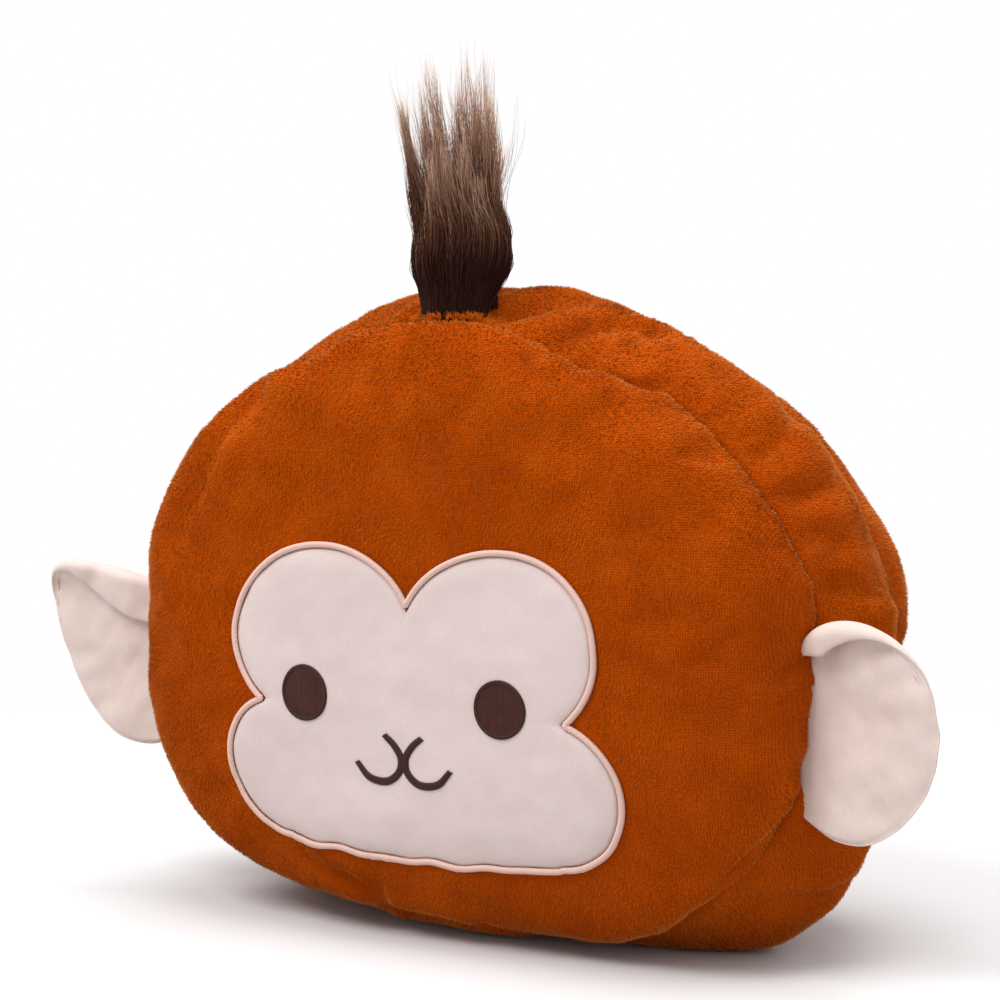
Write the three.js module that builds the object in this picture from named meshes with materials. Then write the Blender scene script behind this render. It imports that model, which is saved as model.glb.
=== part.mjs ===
// A plush pillow in the form of a monkey's head: a domed front panel and a domed back panel
// joined by a gusset band, filled with fibre, with a face sewn on its front, an ear in each
// side of the front seam and a tuft of long-pile fur in the top of it.
//
// Units are millimetres and +Z is up. The face looks along -Y and +X is the viewer's right.
// All pieces are placed in the pillow's own frame: X = 0 is its middle, Y = 0 is the plane of
// the front seam, and Z = 0 is the level where the pillow is widest. The last lines move the
// whole object so that it stands on Z = 0.

import * as THREE from 'three';

// ---- driving dimensions of the pillow ----
const SEAM_HALF_WIDTH = 180;
const SEAM_TOP = 133.5;
const SEAM_BOTTOM = 152.5;
const TOP_SQUARENESS = 1.78;
const BOTTOM_SQUARENESS = 3.23;
const FRONT_DOME = 53;
const FRONT_FULLNESS = 3.6;
const BACK_DOME = 70;
const BACK_FULLNESS = 3.3;
const GUSSET_WIDTH = 77;
const GUSSET_BULGE = 0.114;
const REST_DEPTH = 160; // the filled pillow settles flat at this depth below its widest level

// ---- cloth, thread and filling ----
const PLUSH = 4;
const THREAD = 1.2;
const CLEARANCE = 0.4;
const SEAM_GAP = THREAD / 2 + CLEARANCE; // from a seam's plane to the edge of each cloth
const STUFFING_INSET = PLUSH + 3;
const JOIN_ANGLE = THREE.MathUtils.degToRad(-135);
const CLOSING_SWEEP = THREE.MathUtils.degToRad(40);

// ---- face, in the pillow's frame ----
const FACE_CENTRE_Z = -45;
const CHEEK_TOP = { x: 49.5, z: -17, halfWidth: 50, halfHeight: 42 };
const CHEEK_LOW = { x: 74, z: -80.5, halfWidth: 33.5, halfHeight: 32 };
const CHIN = { halfWidth: 74, z: -117, radius: 770 };
const PATCH_LIFT = 0.7;
const PATCH_THICKNESS = 1.5;
const BORDER_WIDTH = 3.5;
const BORDER_HEIGHT = 2.4;
const STITCH_LIFT = PATCH_LIFT + PATCH_THICKNESS + CLEARANCE;
const STITCH_HEIGHT = 0.9;
const EYE_X = 54.5;
const EYE_Z = -43.7;
const EYE_RADIUS = 13.5;
const EYE_RIM = 1.8;
const MOUTH_STROKE = 3.6;
const MOUTH_POINTS = [
  [10.4, -60],
  [5.5, -64.5],
  [2.2, -70.5],
  [4.6, -77.5],
  [12.5, -82],
  [21.5, -79.5],
  [27, -73.8],
]; // (x, z) along the right-hand stroke, from its upper end

// ---- ears ----
const EAR_ROOT_X = 184.8;
const EAR_ROOT_SLOPE = 0.04; // the root leans inwards going down
const EAR_ROOT_GAP = 5;
const EAR_TOP = 1.5;
const EAR_BOTTOM = -89.5;
const EAR_REACH = 64;
const EAR_SQUARENESS = 2.3;
const EAR_SKIN = 1.4;
const EAR_PADDING = 2.2;
const EAR_FORWARD_TILT = 12;

// ---- tuft ----
const TUFT_Y = -4;
const BACKING = { width: 38, thickness: 5, bottom: 136.6, top: 142.6 };
const HAIR_BOTTOM = 144.6;
const HAIR_LEAN = -0.11;
const HAIR_PROFILE = [
  [0, 0],
  [8, 2.6],
  [15, 6],
  [21, 11],
  [26, 19],
  [27, 27],
  [25, 45],
  [25.5, 72],
  [24, 92],
  [15, 103],
  [0, 105],
]; // (half width, height above the hair's root)
const HAIR_FLATNESS = { root: 0.34, full: 0.6, height: 45 };

const RUST = 0xa6450c;
const RUST_THREAD = 0x8c3a0c;
const PALE_PEACH = 0xe4cfc4;
const PINK = 0xe3b3a2;
const DARK_BROWN = 0x4a241b;
const RIM_BROWN = 0x3b1b14;
const HAIR_BROWN = 0x45281a;
const FIBRE_WHITE = 0xe9e7e2;

const RING_STEPS = 48;
const GUSSET_STEPS = 6;

const pillow = new THREE.Group();

function cloth(color, roughness = 0.95) {
  return new THREE.MeshStandardMaterial({ color, roughness, metalness: 0 });
}

function add(name, geometry, material, parent = pillow) {
  const mesh = new THREE.Mesh(geometry, material);
  mesh.name = name;
  parent.add(mesh);
  return mesh;
}

// Moves every vertex of a geometry to place(x, y, z, index).
function reshape(geometry, place) {
  const position = geometry.attributes.position;
  for (let index = 0; index < position.count; index += 1) {
    const point = place(position.getX(index), position.getY(index), position.getZ(index), index);
    position.setXYZ(index, point.x, point.y, point.z);
  }
  geometry.computeVertexNormals();
  return geometry;
}

// ---- the pillow's surface ----

// Distance from the middle to the front seam at an angle in the XZ plane (0 is +X, 90 is up).
function seamRadius(angle) {
  const up = Math.sin(angle) > 0;
  const height = up ? SEAM_TOP : SEAM_BOTTOM;
  const power = up ? TOP_SQUARENESS : BOTTOM_SQUARENESS;
  const across = Math.abs(Math.cos(angle) / SEAM_HALF_WIDTH) ** power;
  const along = Math.abs(Math.sin(angle) / height) ** power;
  return (across + along) ** (-1 / power);
}

function seamX(z) {
  const power = z > 0 ? TOP_SQUARENESS : BOTTOM_SQUARENESS;
  const height = z > 0 ? SEAM_TOP : SEAM_BOTTOM;
  return SEAM_HALF_WIDTH * (1 - Math.abs(z / height) ** power) ** (1 / power);
}

// Y of the front panel's outer face above a point of the seam plane.
function frontDomeY(x, z) {
  const share = Math.hypot(x, z) / seamRadius(Math.atan2(z, x));
  return -SEAM_GAP - FRONT_DOME * Math.max(0, 1 - share ** FRONT_FULLNESS) ** (1 / FRONT_FULLNESS);
}

// Section points run as (share of the seam radius, y), with how far inside the cover they lie.
function domePoints(depth, fullness, edgeY, inset, steps) {
  const points = [];
  for (let step = 0; step <= steps; step += 1) {
    const turn = (step / steps) * (Math.PI / 2);
    const share = Math.sin(turn) ** (2 / fullness) * (1 - inset / SEAM_HALF_WIDTH);
    const rise = (Math.abs(depth) - inset) * Math.cos(turn) ** (2 / fullness);
    points.push({ share, y: edgeY + Math.sign(depth) * rise, inset });
  }
  return points;
}

function gussetPoints(from, to, inset, steps) {
  const points = [];
  for (let step = 0; step <= steps; step += 1) {
    const y = from + ((to - from) * step) / steps;
    const share = 1 + GUSSET_BULGE * Math.sin((Math.PI * y) / GUSSET_WIDTH) - inset / SEAM_HALF_WIDTH;
    points.push({ share, y, inset });
  }
  return points;
}

// Turns a section round the pillow's own outline and settles it on the floor.
function roundThePillow(points) {
  const section = points.map((point) => new THREE.Vector2(point.share, point.y));
  const geometry = new THREE.LatheGeometry(section, RING_STEPS);
  return reshape(geometry, (x, y, z, index) => {
    const angle = Math.atan2(z, x);
    const radius = Math.hypot(x, z) * seamRadius(angle);
    const height = radius * Math.sin(angle);
    const floor = points[index % points.length].inset - REST_DEPTH;
    return { x: radius * Math.cos(angle), y, z: Math.max(height, floor) };
  });
}

function frontPanel() {
  const outside = domePoints(-FRONT_DOME, FRONT_FULLNESS, -SEAM_GAP, 0, 9);
  const inside = domePoints(-FRONT_DOME, FRONT_FULLNESS, -SEAM_GAP, PLUSH, 7);
  add('front_panel', roundThePillow([...outside, ...inside.reverse()]), cloth(RUST));
}

function gusset() {
  const outside = gussetPoints(SEAM_GAP, GUSSET_WIDTH - SEAM_GAP, 0, GUSSET_STEPS);
  const inside = gussetPoints(SEAM_GAP, GUSSET_WIDTH - SEAM_GAP, PLUSH, GUSSET_STEPS);
  const ring = [...outside, ...inside.reverse(), outside[0]];
  add('gusset', roundThePillow(ring), cloth(RUST));
}

function backPanel() {
  const outside = domePoints(BACK_DOME, BACK_FULLNESS, GUSSET_WIDTH + SEAM_GAP, 0, 8);
  const inside = domePoints(BACK_DOME, BACK_FULLNESS, GUSSET_WIDTH + SEAM_GAP, PLUSH, 6);
  add('back_panel', roundThePillow([...inside, ...outside.reverse()]), cloth(RUST));
}

function stuffing() {
  const front = domePoints(-FRONT_DOME, FRONT_FULLNESS, -SEAM_GAP, STUFFING_INSET, 6);
  const margin = SEAM_GAP + (GUSSET_WIDTH - 2 * SEAM_GAP) / GUSSET_STEPS;
  const middle = gussetPoints(margin, GUSSET_WIDTH - margin, STUFFING_INSET, GUSSET_STEPS - 2);
  const back = domePoints(BACK_DOME, BACK_FULLNESS, GUSSET_WIDTH + SEAM_GAP, STUFFING_INSET, 6);
  add('stuffing', roundThePillow([...front, ...middle, ...back.reverse()]), cloth(FIBRE_WHITE));
}

function seamThread(name, y) {
  const middle = 1 - PLUSH / 2 / SEAM_HALF_WIDTH;
  const half = THREAD / 2;
  const section = [[half, 0], [0, -half], [-half, 0], [0, half], [half, 0]];
  const points = section.map(([out, along]) => ({
    share: middle + out / SEAM_HALF_WIDTH,
    y: y - along,
    inset: PLUSH / 2 - out,
  }));
  add(name, roundThePillow(points), cloth(RUST_THREAD, 0.7));
}

// A point of the gusset's outer face at an angle round the pillow, lifted outwards by a distance.
function gussetPoint(angle, y, lift) {
  const share = 1 + GUSSET_BULGE * Math.sin((Math.PI * y) / GUSSET_WIDTH);
  const radius = seamRadius(angle) * share + lift;
  return { x: radius * Math.cos(angle), y, z: radius * Math.sin(angle) };
}

// The seam where the two ends of the gusset strip meet, low on the side of the pillow.
function gussetJoin() {
  const margin = 4;
  const steps = 14;
  const bar = new THREE.BoxGeometry(GUSSET_WIDTH - 2 * margin, THREAD, THREAD, steps, 1, 1);
  reshape(bar, (along, across, up) => {
    const angle = JOIN_ANGLE + across / seamRadius(JOIN_ANGLE);
    return gussetPoint(angle, GUSSET_WIDTH / 2 + along, up + THREAD / 2 + CLEARANCE);
  });
  add('gusset_join_thread', bar, cloth(RUST_THREAD, 0.7));
}

// The short stretch of the back seam that is closed by hand after filling.
function closingSeam() {
  const steps = 10;
  const bar = new THREE.BoxGeometry(1, THREAD, THREAD, steps, 1, 1);
  reshape(bar, (along, across, up) => {
    const angle = -Math.PI / 2 + along * CLOSING_SWEEP;
    return gussetPoint(angle, GUSSET_WIDTH - across, up + THREAD + CLEARANCE);
  });
  add('closing_seam_thread', bar, cloth(RUST_THREAD, 0.7));
}

// ---- the face ----

// How far a ray from the face's centre runs before it leaves an ellipse, or 0 if it misses.
function rayThroughEllipse(ellipse, side, cos, sin) {
  const startX = -side * ellipse.x;
  const startZ = FACE_CENTRE_Z - ellipse.z;
  const a = (cos / ellipse.halfWidth) ** 2 + (sin / ellipse.halfHeight) ** 2;
  const b = (startX * cos) / ellipse.halfWidth ** 2 + (startZ * sin) / ellipse.halfHeight ** 2;
  const c = (startX / ellipse.halfWidth) ** 2 + (startZ / ellipse.halfHeight) ** 2 - 1;
  const root = b * b - a * c;
  return root < 0 ? 0 : (-b + Math.sqrt(root)) / a;
}

function rayThroughChin(cos, sin) {
  if (sin >= 0) {
    return 0;
  }
  const start = FACE_CENTRE_Z - (CHIN.z + CHIN.radius);
  const half = start * sin;
  const toArc = -half + Math.sqrt(half * half - start * start + CHIN.radius ** 2);
  const toSide = CHIN.halfWidth / Math.max(Math.abs(cos), 1e-6);
  return Math.min(toArc, toSide);
}

function patchRadius(angle) {
  const cos = Math.cos(angle);
  const sin = Math.sin(angle);
  const reaches = [rayThroughChin(cos, sin)];
  for (const side of [-1, 1]) {
    reaches.push(rayThroughEllipse(CHEEK_TOP, side, cos, sin));
    reaches.push(rayThroughEllipse(CHEEK_LOW, side, cos, sin));
  }
  return Math.max(...reaches);
}

// Lays a turned section on the front panel: section points are (distance, lift above the cover),
// where the distance is worked out from the outline's own radius in that direction.
function layOnFace(section, steps, centre, distance) {
  const geometry = new THREE.LatheGeometry(section, steps);
  return reshape(geometry, (x, lift, z) => {
    const angle = Math.atan2(z, x);
    const reach = distance(Math.hypot(x, z), angle);
    const faceX = centre.x + reach * Math.cos(angle);
    const faceZ = centre.z + reach * Math.sin(angle);
    return { x: faceX, y: frontDomeY(faceX, faceZ) - lift, z: faceZ };
  });
}

function discSection(bottom, top, rings) {
  const section = [];
  for (let ring = 0; ring <= rings; ring += 1) {
    section.push(new THREE.Vector2(ring / rings, top));
  }
  for (let ring = rings; ring >= 0; ring -= 1) {
    section.push(new THREE.Vector2(ring / rings, bottom));
  }
  return section;
}

const FAR = 1000; // keeps a ring's section clear of the turning axis

function ringSection(inner, outer, bottom, top) {
  const corners = [[inner, bottom], [inner, top], [outer, top], [outer, bottom], [inner, bottom]];
  return corners.map(([across, lift]) => new THREE.Vector2(FAR + across, lift));
}

function facePatch() {
  const centre = { x: 0, z: FACE_CENTRE_Z };
  const patchSteps = 64;
  const section = discSection(PATCH_LIFT, PATCH_LIFT + PATCH_THICKNESS, 5);
  const disc = layOnFace(section, patchSteps, centre, (share, angle) => share * patchRadius(angle));
  add('face_patch', disc, cloth(PALE_PEACH));

  const edge = CLEARANCE;
  const border = ringSection(edge, edge + BORDER_WIDTH, PATCH_LIFT, PATCH_LIFT + BORDER_HEIGHT);
  const ring = layOnFace(border, patchSteps, centre, (across, angle) => patchRadius(angle) + across - FAR);
  add('face_patch_border', ring, cloth(PINK, 0.6));
}

function eye(name, side) {
  const centre = { x: side * EYE_X, z: EYE_Z };
  const eyeSteps = 24;
  const fillRadius = EYE_RADIUS - EYE_RIM - CLEARANCE;
  const fill = discSection(STITCH_LIFT, STITCH_LIFT + STITCH_HEIGHT, 2);
  add(name, layOnFace(fill, eyeSteps, centre, (share) => share * fillRadius), cloth(DARK_BROWN, 0.6));

  const rimTop = STITCH_LIFT + STITCH_HEIGHT + 0.4;
  const rim = ringSection(EYE_RADIUS - EYE_RIM, EYE_RADIUS, STITCH_LIFT, rimTop);
  add(`${name}_rim`, layOnFace(rim, eyeSteps, centre, (across) => across - FAR), cloth(RIM_BROWN, 0.6));
}

function mouthStroke(name, side) {
  const points = MOUTH_POINTS.map(([x, z]) => new THREE.Vector3(side * x, 0, z));
  const curve = new THREE.CatmullRomCurve3(points);
  const strokeSteps = 18;
  const bar = new THREE.BoxGeometry(1, MOUTH_STROKE, STITCH_HEIGHT, strokeSteps, 1, 1);
  reshape(bar, (along, across, up) => {
    const share = THREE.MathUtils.clamp(along + 0.5, 0, 1);
    const middle = curve.getPointAt(share);
    const direction = curve.getTangentAt(share);
    const x = middle.x - direction.z * across;
    const z = middle.z + direction.x * across;
    return { x, y: frontDomeY(x, z) - STITCH_LIFT - STITCH_HEIGHT / 2 - up, z };
  });
  add(name, bar, cloth(DARK_BROWN, 0.6));
}

// ---- ears: two skins with wadding between, as flat plates that stand out of the seam ----

function earRootX(z) {
  const hinge = EAR_ROOT_X + EAR_ROOT_SLOPE * z;
  return Math.min(hinge, seamX(z) + EAR_ROOT_GAP);
}

function earOutline(side) {
  const middle = (EAR_TOP + EAR_BOTTOM) / 2;
  const half = (EAR_TOP - EAR_BOTTOM) / 2;
  const rimSteps = 20;
  const rootSteps = 5;
  const points = [];
  for (let step = 1; step < rimSteps; step += 1) {
    const turn = Math.PI / 2 - (step / rimSteps) * Math.PI;
    const out = EAR_REACH * Math.cos(turn) ** (2 / EAR_SQUARENESS);
    const up = half * Math.sign(Math.sin(turn)) * Math.abs(Math.sin(turn)) ** (2 / EAR_SQUARENESS);
    points.push(new THREE.Vector2(side * (EAR_ROOT_X + out), middle + up));
  }
  for (let step = 0; step <= rootSteps; step += 1) {
    const z = EAR_BOTTOM + 3 + ((EAR_TOP - EAR_BOTTOM - 6) * step) / rootSteps;
    points.push(new THREE.Vector2(side * earRootX(z), z));
  }
  return new THREE.Shape(points);
}

function ear(side, name) {
  const group = new THREE.Group();
  group.position.set(side * EAR_ROOT_X, 0, 0);
  group.rotation.z = -side * THREE.MathUtils.degToRad(EAR_FORWARD_TILT);
  pillow.add(group);
  const shape = earOutline(side);
  const layers = [
    [`${name}_front`, EAR_SKIN, -EAR_PADDING / 2 - CLEARANCE - EAR_SKIN, cloth(PALE_PEACH)],
    [`${name}_padding`, EAR_PADDING, -EAR_PADDING / 2, cloth(FIBRE_WHITE)],
    [`${name}_back`, EAR_SKIN, EAR_PADDING / 2 + CLEARANCE, cloth(PALE_PEACH)],
  ];
  for (const [layer, thickness, frontY, material] of layers) {
    const plate = new THREE.ExtrudeGeometry(shape, { depth: thickness, bevelEnabled: false });
    plate.rotateX(Math.PI / 2);
    plate.translate(-side * EAR_ROOT_X, frontY + thickness, 0);
    add(layer, plate, material, group);
  }
}

// ---- tuft ----

function tuft() {
  const height = BACKING.top - BACKING.bottom;
  const strip = new THREE.BoxGeometry(BACKING.width, BACKING.thickness, height, 4, 1, 2);
  strip.translate(0, TUFT_Y, BACKING.bottom + height / 2);
  add('tuft_backing', strip, cloth(HAIR_BROWN));

  const section = HAIR_PROFILE.map(([radius, up]) => new THREE.Vector2(radius, up));
  const hair = reshape(new THREE.LatheGeometry(section, 24), (x, up, z) => {
    const grown = THREE.MathUtils.smoothstep(up, 0, HAIR_FLATNESS.height);
    const flatness = THREE.MathUtils.lerp(HAIR_FLATNESS.root, HAIR_FLATNESS.full, grown);
    return { x: x + HAIR_LEAN * up, y: TUFT_Y - z * flatness, z: HAIR_BOTTOM + up };
  });
  add('tuft_hair', hair, cloth(HAIR_BROWN, 0.7));
}

frontPanel();
gusset();
backPanel();
stuffing();
seamThread('front_seam_thread', 0);
seamThread('back_seam_thread', GUSSET_WIDTH);
gussetJoin();
closingSeam();
facePatch();
eye('left_eye', -1);
eye('right_eye', 1);
mouthStroke('mouth_left_stroke', -1);
mouthStroke('mouth_right_stroke', 1);
ear(-1, 'left_ear');
ear(1, 'right_ear');
tuft();

// Stands the object on Z = 0 with its middle over the origin.
const box = new THREE.Box3().setFromObject(pillow);
const middle = box.getCenter(new THREE.Vector3());
pillow.position.set(-middle.x, -middle.y, -box.min.z);
pillow.updateMatrixWorld(true);

export default pillow;
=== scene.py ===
import math

import bpy
import numpy as np
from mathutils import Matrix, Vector
from mathutils.bvhtree import BVHTree


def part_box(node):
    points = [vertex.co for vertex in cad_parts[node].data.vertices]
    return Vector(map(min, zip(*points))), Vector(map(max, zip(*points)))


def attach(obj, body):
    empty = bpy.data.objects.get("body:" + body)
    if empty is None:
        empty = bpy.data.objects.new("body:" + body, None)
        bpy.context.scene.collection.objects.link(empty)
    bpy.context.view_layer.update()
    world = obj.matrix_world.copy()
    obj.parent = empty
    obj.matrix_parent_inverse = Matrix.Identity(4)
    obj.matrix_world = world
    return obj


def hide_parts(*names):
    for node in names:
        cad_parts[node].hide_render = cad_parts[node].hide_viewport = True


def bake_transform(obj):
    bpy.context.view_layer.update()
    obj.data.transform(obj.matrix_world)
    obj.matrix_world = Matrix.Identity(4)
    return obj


# A plush pillow in the form of a monkey's head, standing on its flattened underside.
# Lengths are millimetres in the pillow's own frame, X = 0 its middle, Y = 0 the plane of the
# front seam and Z = 0 its widest level, until in_row() puts them in the row frame in metres.

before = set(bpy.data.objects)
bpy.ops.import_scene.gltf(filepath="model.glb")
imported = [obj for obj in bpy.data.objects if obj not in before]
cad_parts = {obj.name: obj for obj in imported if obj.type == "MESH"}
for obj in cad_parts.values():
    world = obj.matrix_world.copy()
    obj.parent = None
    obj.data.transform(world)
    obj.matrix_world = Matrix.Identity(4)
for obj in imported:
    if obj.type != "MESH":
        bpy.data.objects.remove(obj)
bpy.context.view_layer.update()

# ---- the pillow ----

SEAM_HALF_WIDTH = 180
SEAM_TOP = 133.5
SEAM_BOTTOM = 152.5
TOP_SQUARENESS = 1.78
BOTTOM_SQUARENESS = 3.23
FRONT_DOME = 53
FRONT_FULLNESS = 3.6
BACK_DOME = 70
BACK_FULLNESS = 3.3
GUSSET_WIDTH = 77
GUSSET_BULGE = 0.114
CLOTH = 3  # the plush's thickness without its pile

MM = 0.001
panel_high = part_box("front_panel")[1]
thread_low, thread_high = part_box("front_seam_thread")
ORIGIN = np.array([0, (thread_low.y + thread_high.y) / 2, panel_high.z - SEAM_TOP * MM])
FLOOR = -ORIGIN[2] / MM

rng = np.random.default_rng(7)


def in_row(points):
    """Points of the pillow's own frame, in millimetres, in the row frame in metres."""
    return np.asarray(points, float) * MM + ORIGIN


def in_pillow(points):
    """Points of the row frame, in metres, in the pillow's own frame in millimetres."""
    return (np.asarray(points, float) - ORIGIN) / MM


def smoothstep(low, high, value):
    """From 0 at low to 1 at high, easing in and out."""
    share = np.clip((value - low) / (high - low), 0, 1)
    return share * share * (3 - 2 * share)


# ---- mesh helpers ----

def get_points(piece):
    """A piece's vertices as rows of (x, y, z)."""
    flat = np.empty(len(piece.data.vertices) * 3)
    piece.data.vertices.foreach_get("co", flat)
    return flat.reshape(-1, 3)


def set_points(piece, points):
    piece.data.vertices.foreach_set("co", np.asarray(points, np.float32).ravel())
    piece.data.update()


def get_normals(piece):
    flat = np.empty(len(piece.data.vertices) * 3, np.float32)
    piece.data.vertex_normals.foreach_get("vector", flat)
    return flat.reshape(-1, 3)


def deselect():
    bpy.ops.object.select_all(action="DESELECT")


def finish_primitive(name):
    """Names the primitive that was just added, and its mesh."""
    piece = bpy.context.active_object
    piece.name = name
    piece.data.name = name
    return piece


def edit(piece, mode="VERT"):
    """Opens the piece in edit mode with nothing selected."""
    deselect()
    piece.select_set(True)
    bpy.context.view_layer.objects.active = piece
    bpy.ops.object.mode_set(mode="EDIT")
    bpy.ops.mesh.select_all(action="DESELECT")
    bpy.ops.mesh.select_mode(type=mode)


def select_where(piece, chosen, mode="VERT"):
    """Selects the vertices or faces of an array of truths; the piece is left in edit mode."""
    edit(piece, mode)
    bpy.ops.object.mode_set(mode="OBJECT")
    parts = piece.data.vertices if mode == "VERT" else piece.data.polygons
    parts.foreach_set("select", np.asarray(chosen, bool))
    bpy.ops.object.mode_set(mode="EDIT")


def faces_forwards(piece, judged=slice(None)):
    """Turns a skin's faces to the front, judged by the normals of some of its vertices."""
    if get_normals(piece)[judged, 1].mean() > 0:
        edit(piece)
        bpy.ops.mesh.select_all(action="SELECT")
        bpy.ops.mesh.flip_normals()
        bpy.ops.object.mode_set(mode="OBJECT")


def add_linked(name, mesh):
    """A new object round a mesh, in the scene."""
    piece = bpy.data.objects.new(name, mesh)
    bpy.context.collection.objects.link(piece)
    return piece


def copied(piece, name):
    """A copy with its own mesh."""
    copy = piece.copy()
    copy.data = piece.data.copy()
    copy.name = copy.data.name = name
    bpy.context.collection.objects.link(copy)
    return copy


def stored(piece, name, values):
    """Stores one number for each vertex, which a finish or a later step reads."""
    attribute = piece.data.attributes.new(name, "FLOAT", "POINT")
    attribute.data.foreach_set("value", np.asarray(values, np.float32))


def apply_modifier(piece, modifier):
    """Makes a modifier's shape the piece's own."""
    deselect()
    piece.select_set(True)
    bpy.context.view_layer.objects.active = piece
    bpy.ops.object.modifier_apply(modifier=modifier.name)


def smooth_shaded(piece):
    piece.data.polygons.foreach_set("use_smooth", np.ones(len(piece.data.polygons), bool))
    piece.data.update()
    return piece


# ---- the cover's shape ----

def seam_radius(angle):
    """Distance from the middle to the front seam at an angle in the XZ plane."""
    up = np.sin(angle) > 0
    height = np.where(up, SEAM_TOP, SEAM_BOTTOM)
    power = np.where(up, TOP_SQUARENESS, BOTTOM_SQUARENESS)
    across = np.abs(np.cos(angle) / SEAM_HALF_WIDTH) ** power
    along = np.abs(np.sin(angle) / height) ** power
    return (across + along) ** (-1 / power)


def dome_height(share, depth, fullness):
    """How far a panel stands out at a share of the way to its seam."""
    return depth * np.maximum(0, 1 - share ** fullness) ** (1 / fullness)


def cover_section():
    """The cover's section as (share of the seam radius, y) from the front pole to the back pole."""
    turn = np.linspace(0, math.pi / 2, 300)
    front_share = np.sin(turn) ** (2 / FRONT_FULLNESS)
    back_share = np.sin(turn) ** (2 / BACK_FULLNESS)
    across = np.linspace(0, GUSSET_WIDTH, 200)
    front = np.column_stack([front_share, -FRONT_DOME * np.cos(turn) ** (2 / FRONT_FULLNESS)])
    gusset = np.column_stack([1 + GUSSET_BULGE * np.sin(math.pi * across / GUSSET_WIDTH), across])
    back = np.column_stack(
        [back_share, GUSSET_WIDTH + BACK_DOME * np.cos(turn) ** (2 / BACK_FULLNESS)])
    return front, gusset, back[::-1]


def rows_along(line, dense_start, dense_end, finest=1.5, coarsest=4.4, growth=0.22):
    """Stations along a section line, close together at its seams and wider apart between them."""
    mean_radius = 160
    steps = np.hypot(np.diff(line[:, 0]) * mean_radius, np.diff(line[:, 1]))
    length = np.concatenate([[0], np.cumsum(steps)])
    total = length[-1]
    stations = [0.0]
    while stations[-1] < total:
        here = stations[-1]
        from_seam = min(here if dense_start else total, total - here if dense_end else total)
        stations.append(here + min(coarsest, finest + growth * from_seam))
    stations = np.array(stations) * total / stations[-1]
    return np.column_stack([np.interp(stations, length, line[:, 0]),
                            np.interp(stations, length, line[:, 1])])


SEGMENTS = 288
CAP_SHARE = 0.42


def sewn_cover():
    """The whole cover as one closed mesh whose rings of edges run parallel to the seams."""
    front, gusset, back = cover_section()
    front_rows = rows_along(front, False, True)
    gusset_rows = rows_along(gusset, True, True)
    back_rows = rows_along(back, True, False)
    rows = np.vstack([front_rows, gusset_rows[1:], back_rows[1:]])
    bpy.ops.mesh.primitive_uv_sphere_add(
        segments=SEGMENTS, ring_count=len(rows) - 1, radius=1, rotation=(math.pi / 2, 0, 0))
    cover = finish_primitive("sewn_cover")
    bpy.ops.object.transform_apply(location=False, rotation=True, scale=False)
    unit = get_points(cover)
    turn = np.arccos(np.clip(-unit[:, 1], -1, 1)) / math.pi * (len(rows) - 1)
    row = np.rint(turn).astype(int)
    angle = np.arctan2(unit[:, 2], unit[:, 0])
    share, y = rows[row, 0], rows[row, 1]
    radius = share * seam_radius(angle)
    set_points(cover, np.column_stack([radius * np.cos(angle), y, radius * np.sin(angle)]))
    fill_caps(cover, share)
    return cover


def fill_caps(cover, share):
    """Swaps the fans of thin triangles at the two poles for even grids."""
    select_where(cover, share < CAP_SHARE - 1e-6)
    bpy.ops.mesh.delete(type="VERT")
    bpy.ops.object.mode_set(mode="OBJECT")
    for side in (-1, 1):
        points = get_points(cover)
        loops = np.zeros(len(points), int)
        edges = np.empty(len(cover.data.edges) * 2, int)
        cover.data.edges.foreach_get("vertices", edges)
        pairs = edges.reshape(-1, 2)
        sides = {}
        for polygon in cover.data.polygons:
            for key in polygon.edge_keys:
                sides[key] = sides.get(key, 0) + 1
        for a, b in pairs:
            key = (a, b) if a < b else (b, a)
            if sides.get(key, 0) == 1:
                loops[a] = loops[b] = 1
        middle = GUSSET_WIDTH / 2
        select_where(cover, (loops == 1) & (side * (points[:, 1] - middle) > 0))
        bpy.ops.mesh.select_mode(type="EDGE")
        bpy.ops.mesh.fill_grid(span=SEGMENTS // 4)
        bpy.ops.object.mode_set(mode="OBJECT")
    points = get_points(cover)
    share = np.hypot(points[:, 0], points[:, 2]) / seam_radius(np.arctan2(points[:, 2], points[:, 0]))
    inner = share < CAP_SHARE
    front = -dome_height(share, FRONT_DOME, FRONT_FULLNESS)
    back = GUSSET_WIDTH + dome_height(share, BACK_DOME, BACK_FULLNESS)
    points[inner, 1] = np.where(points[inner, 1] < GUSSET_WIDTH / 2, front[inner], back[inner])
    set_points(cover, points)
    edit(cover)
    bpy.ops.mesh.select_all(action="SELECT")
    bpy.ops.mesh.normals_make_consistent(inside=False)
    bpy.ops.object.mode_set(mode="OBJECT")


# ---- filling: pressure, drawn seams, sag and folds ----

SEAM_DRAW = 0.07  # how much shorter the thread draws the cloth at a seam
FILL_FRAMES = 16
FILL_CAP = 4.0
PUCKER_KEPT = 0.5  # how much of the sewn cloth's puckering is left once it is stuffed tight
PUCKER_DEPTH = 1.5
PUCKER_WIDTH = 15
PUCKER_REACH = 17
GROOVE_DEPTH = 2.6  # the sharp groove at a seam's thread
GROOVE_WIDTH = 2.0
SHOULDER_HEIGHT = 3.8  # the soft swelling on both sides of it
SHOULDER_WIDTH = 15
SEAM_SLIDE = 18
SEAM_DIP = 7
SAG_SLOPE = -0.038  # the filling has slumped towards +X
FLOOR_SOFTNESS = 2.5
FOLD_DEPTH = 1.3
FOLD_SWELLING = 0.35

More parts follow.
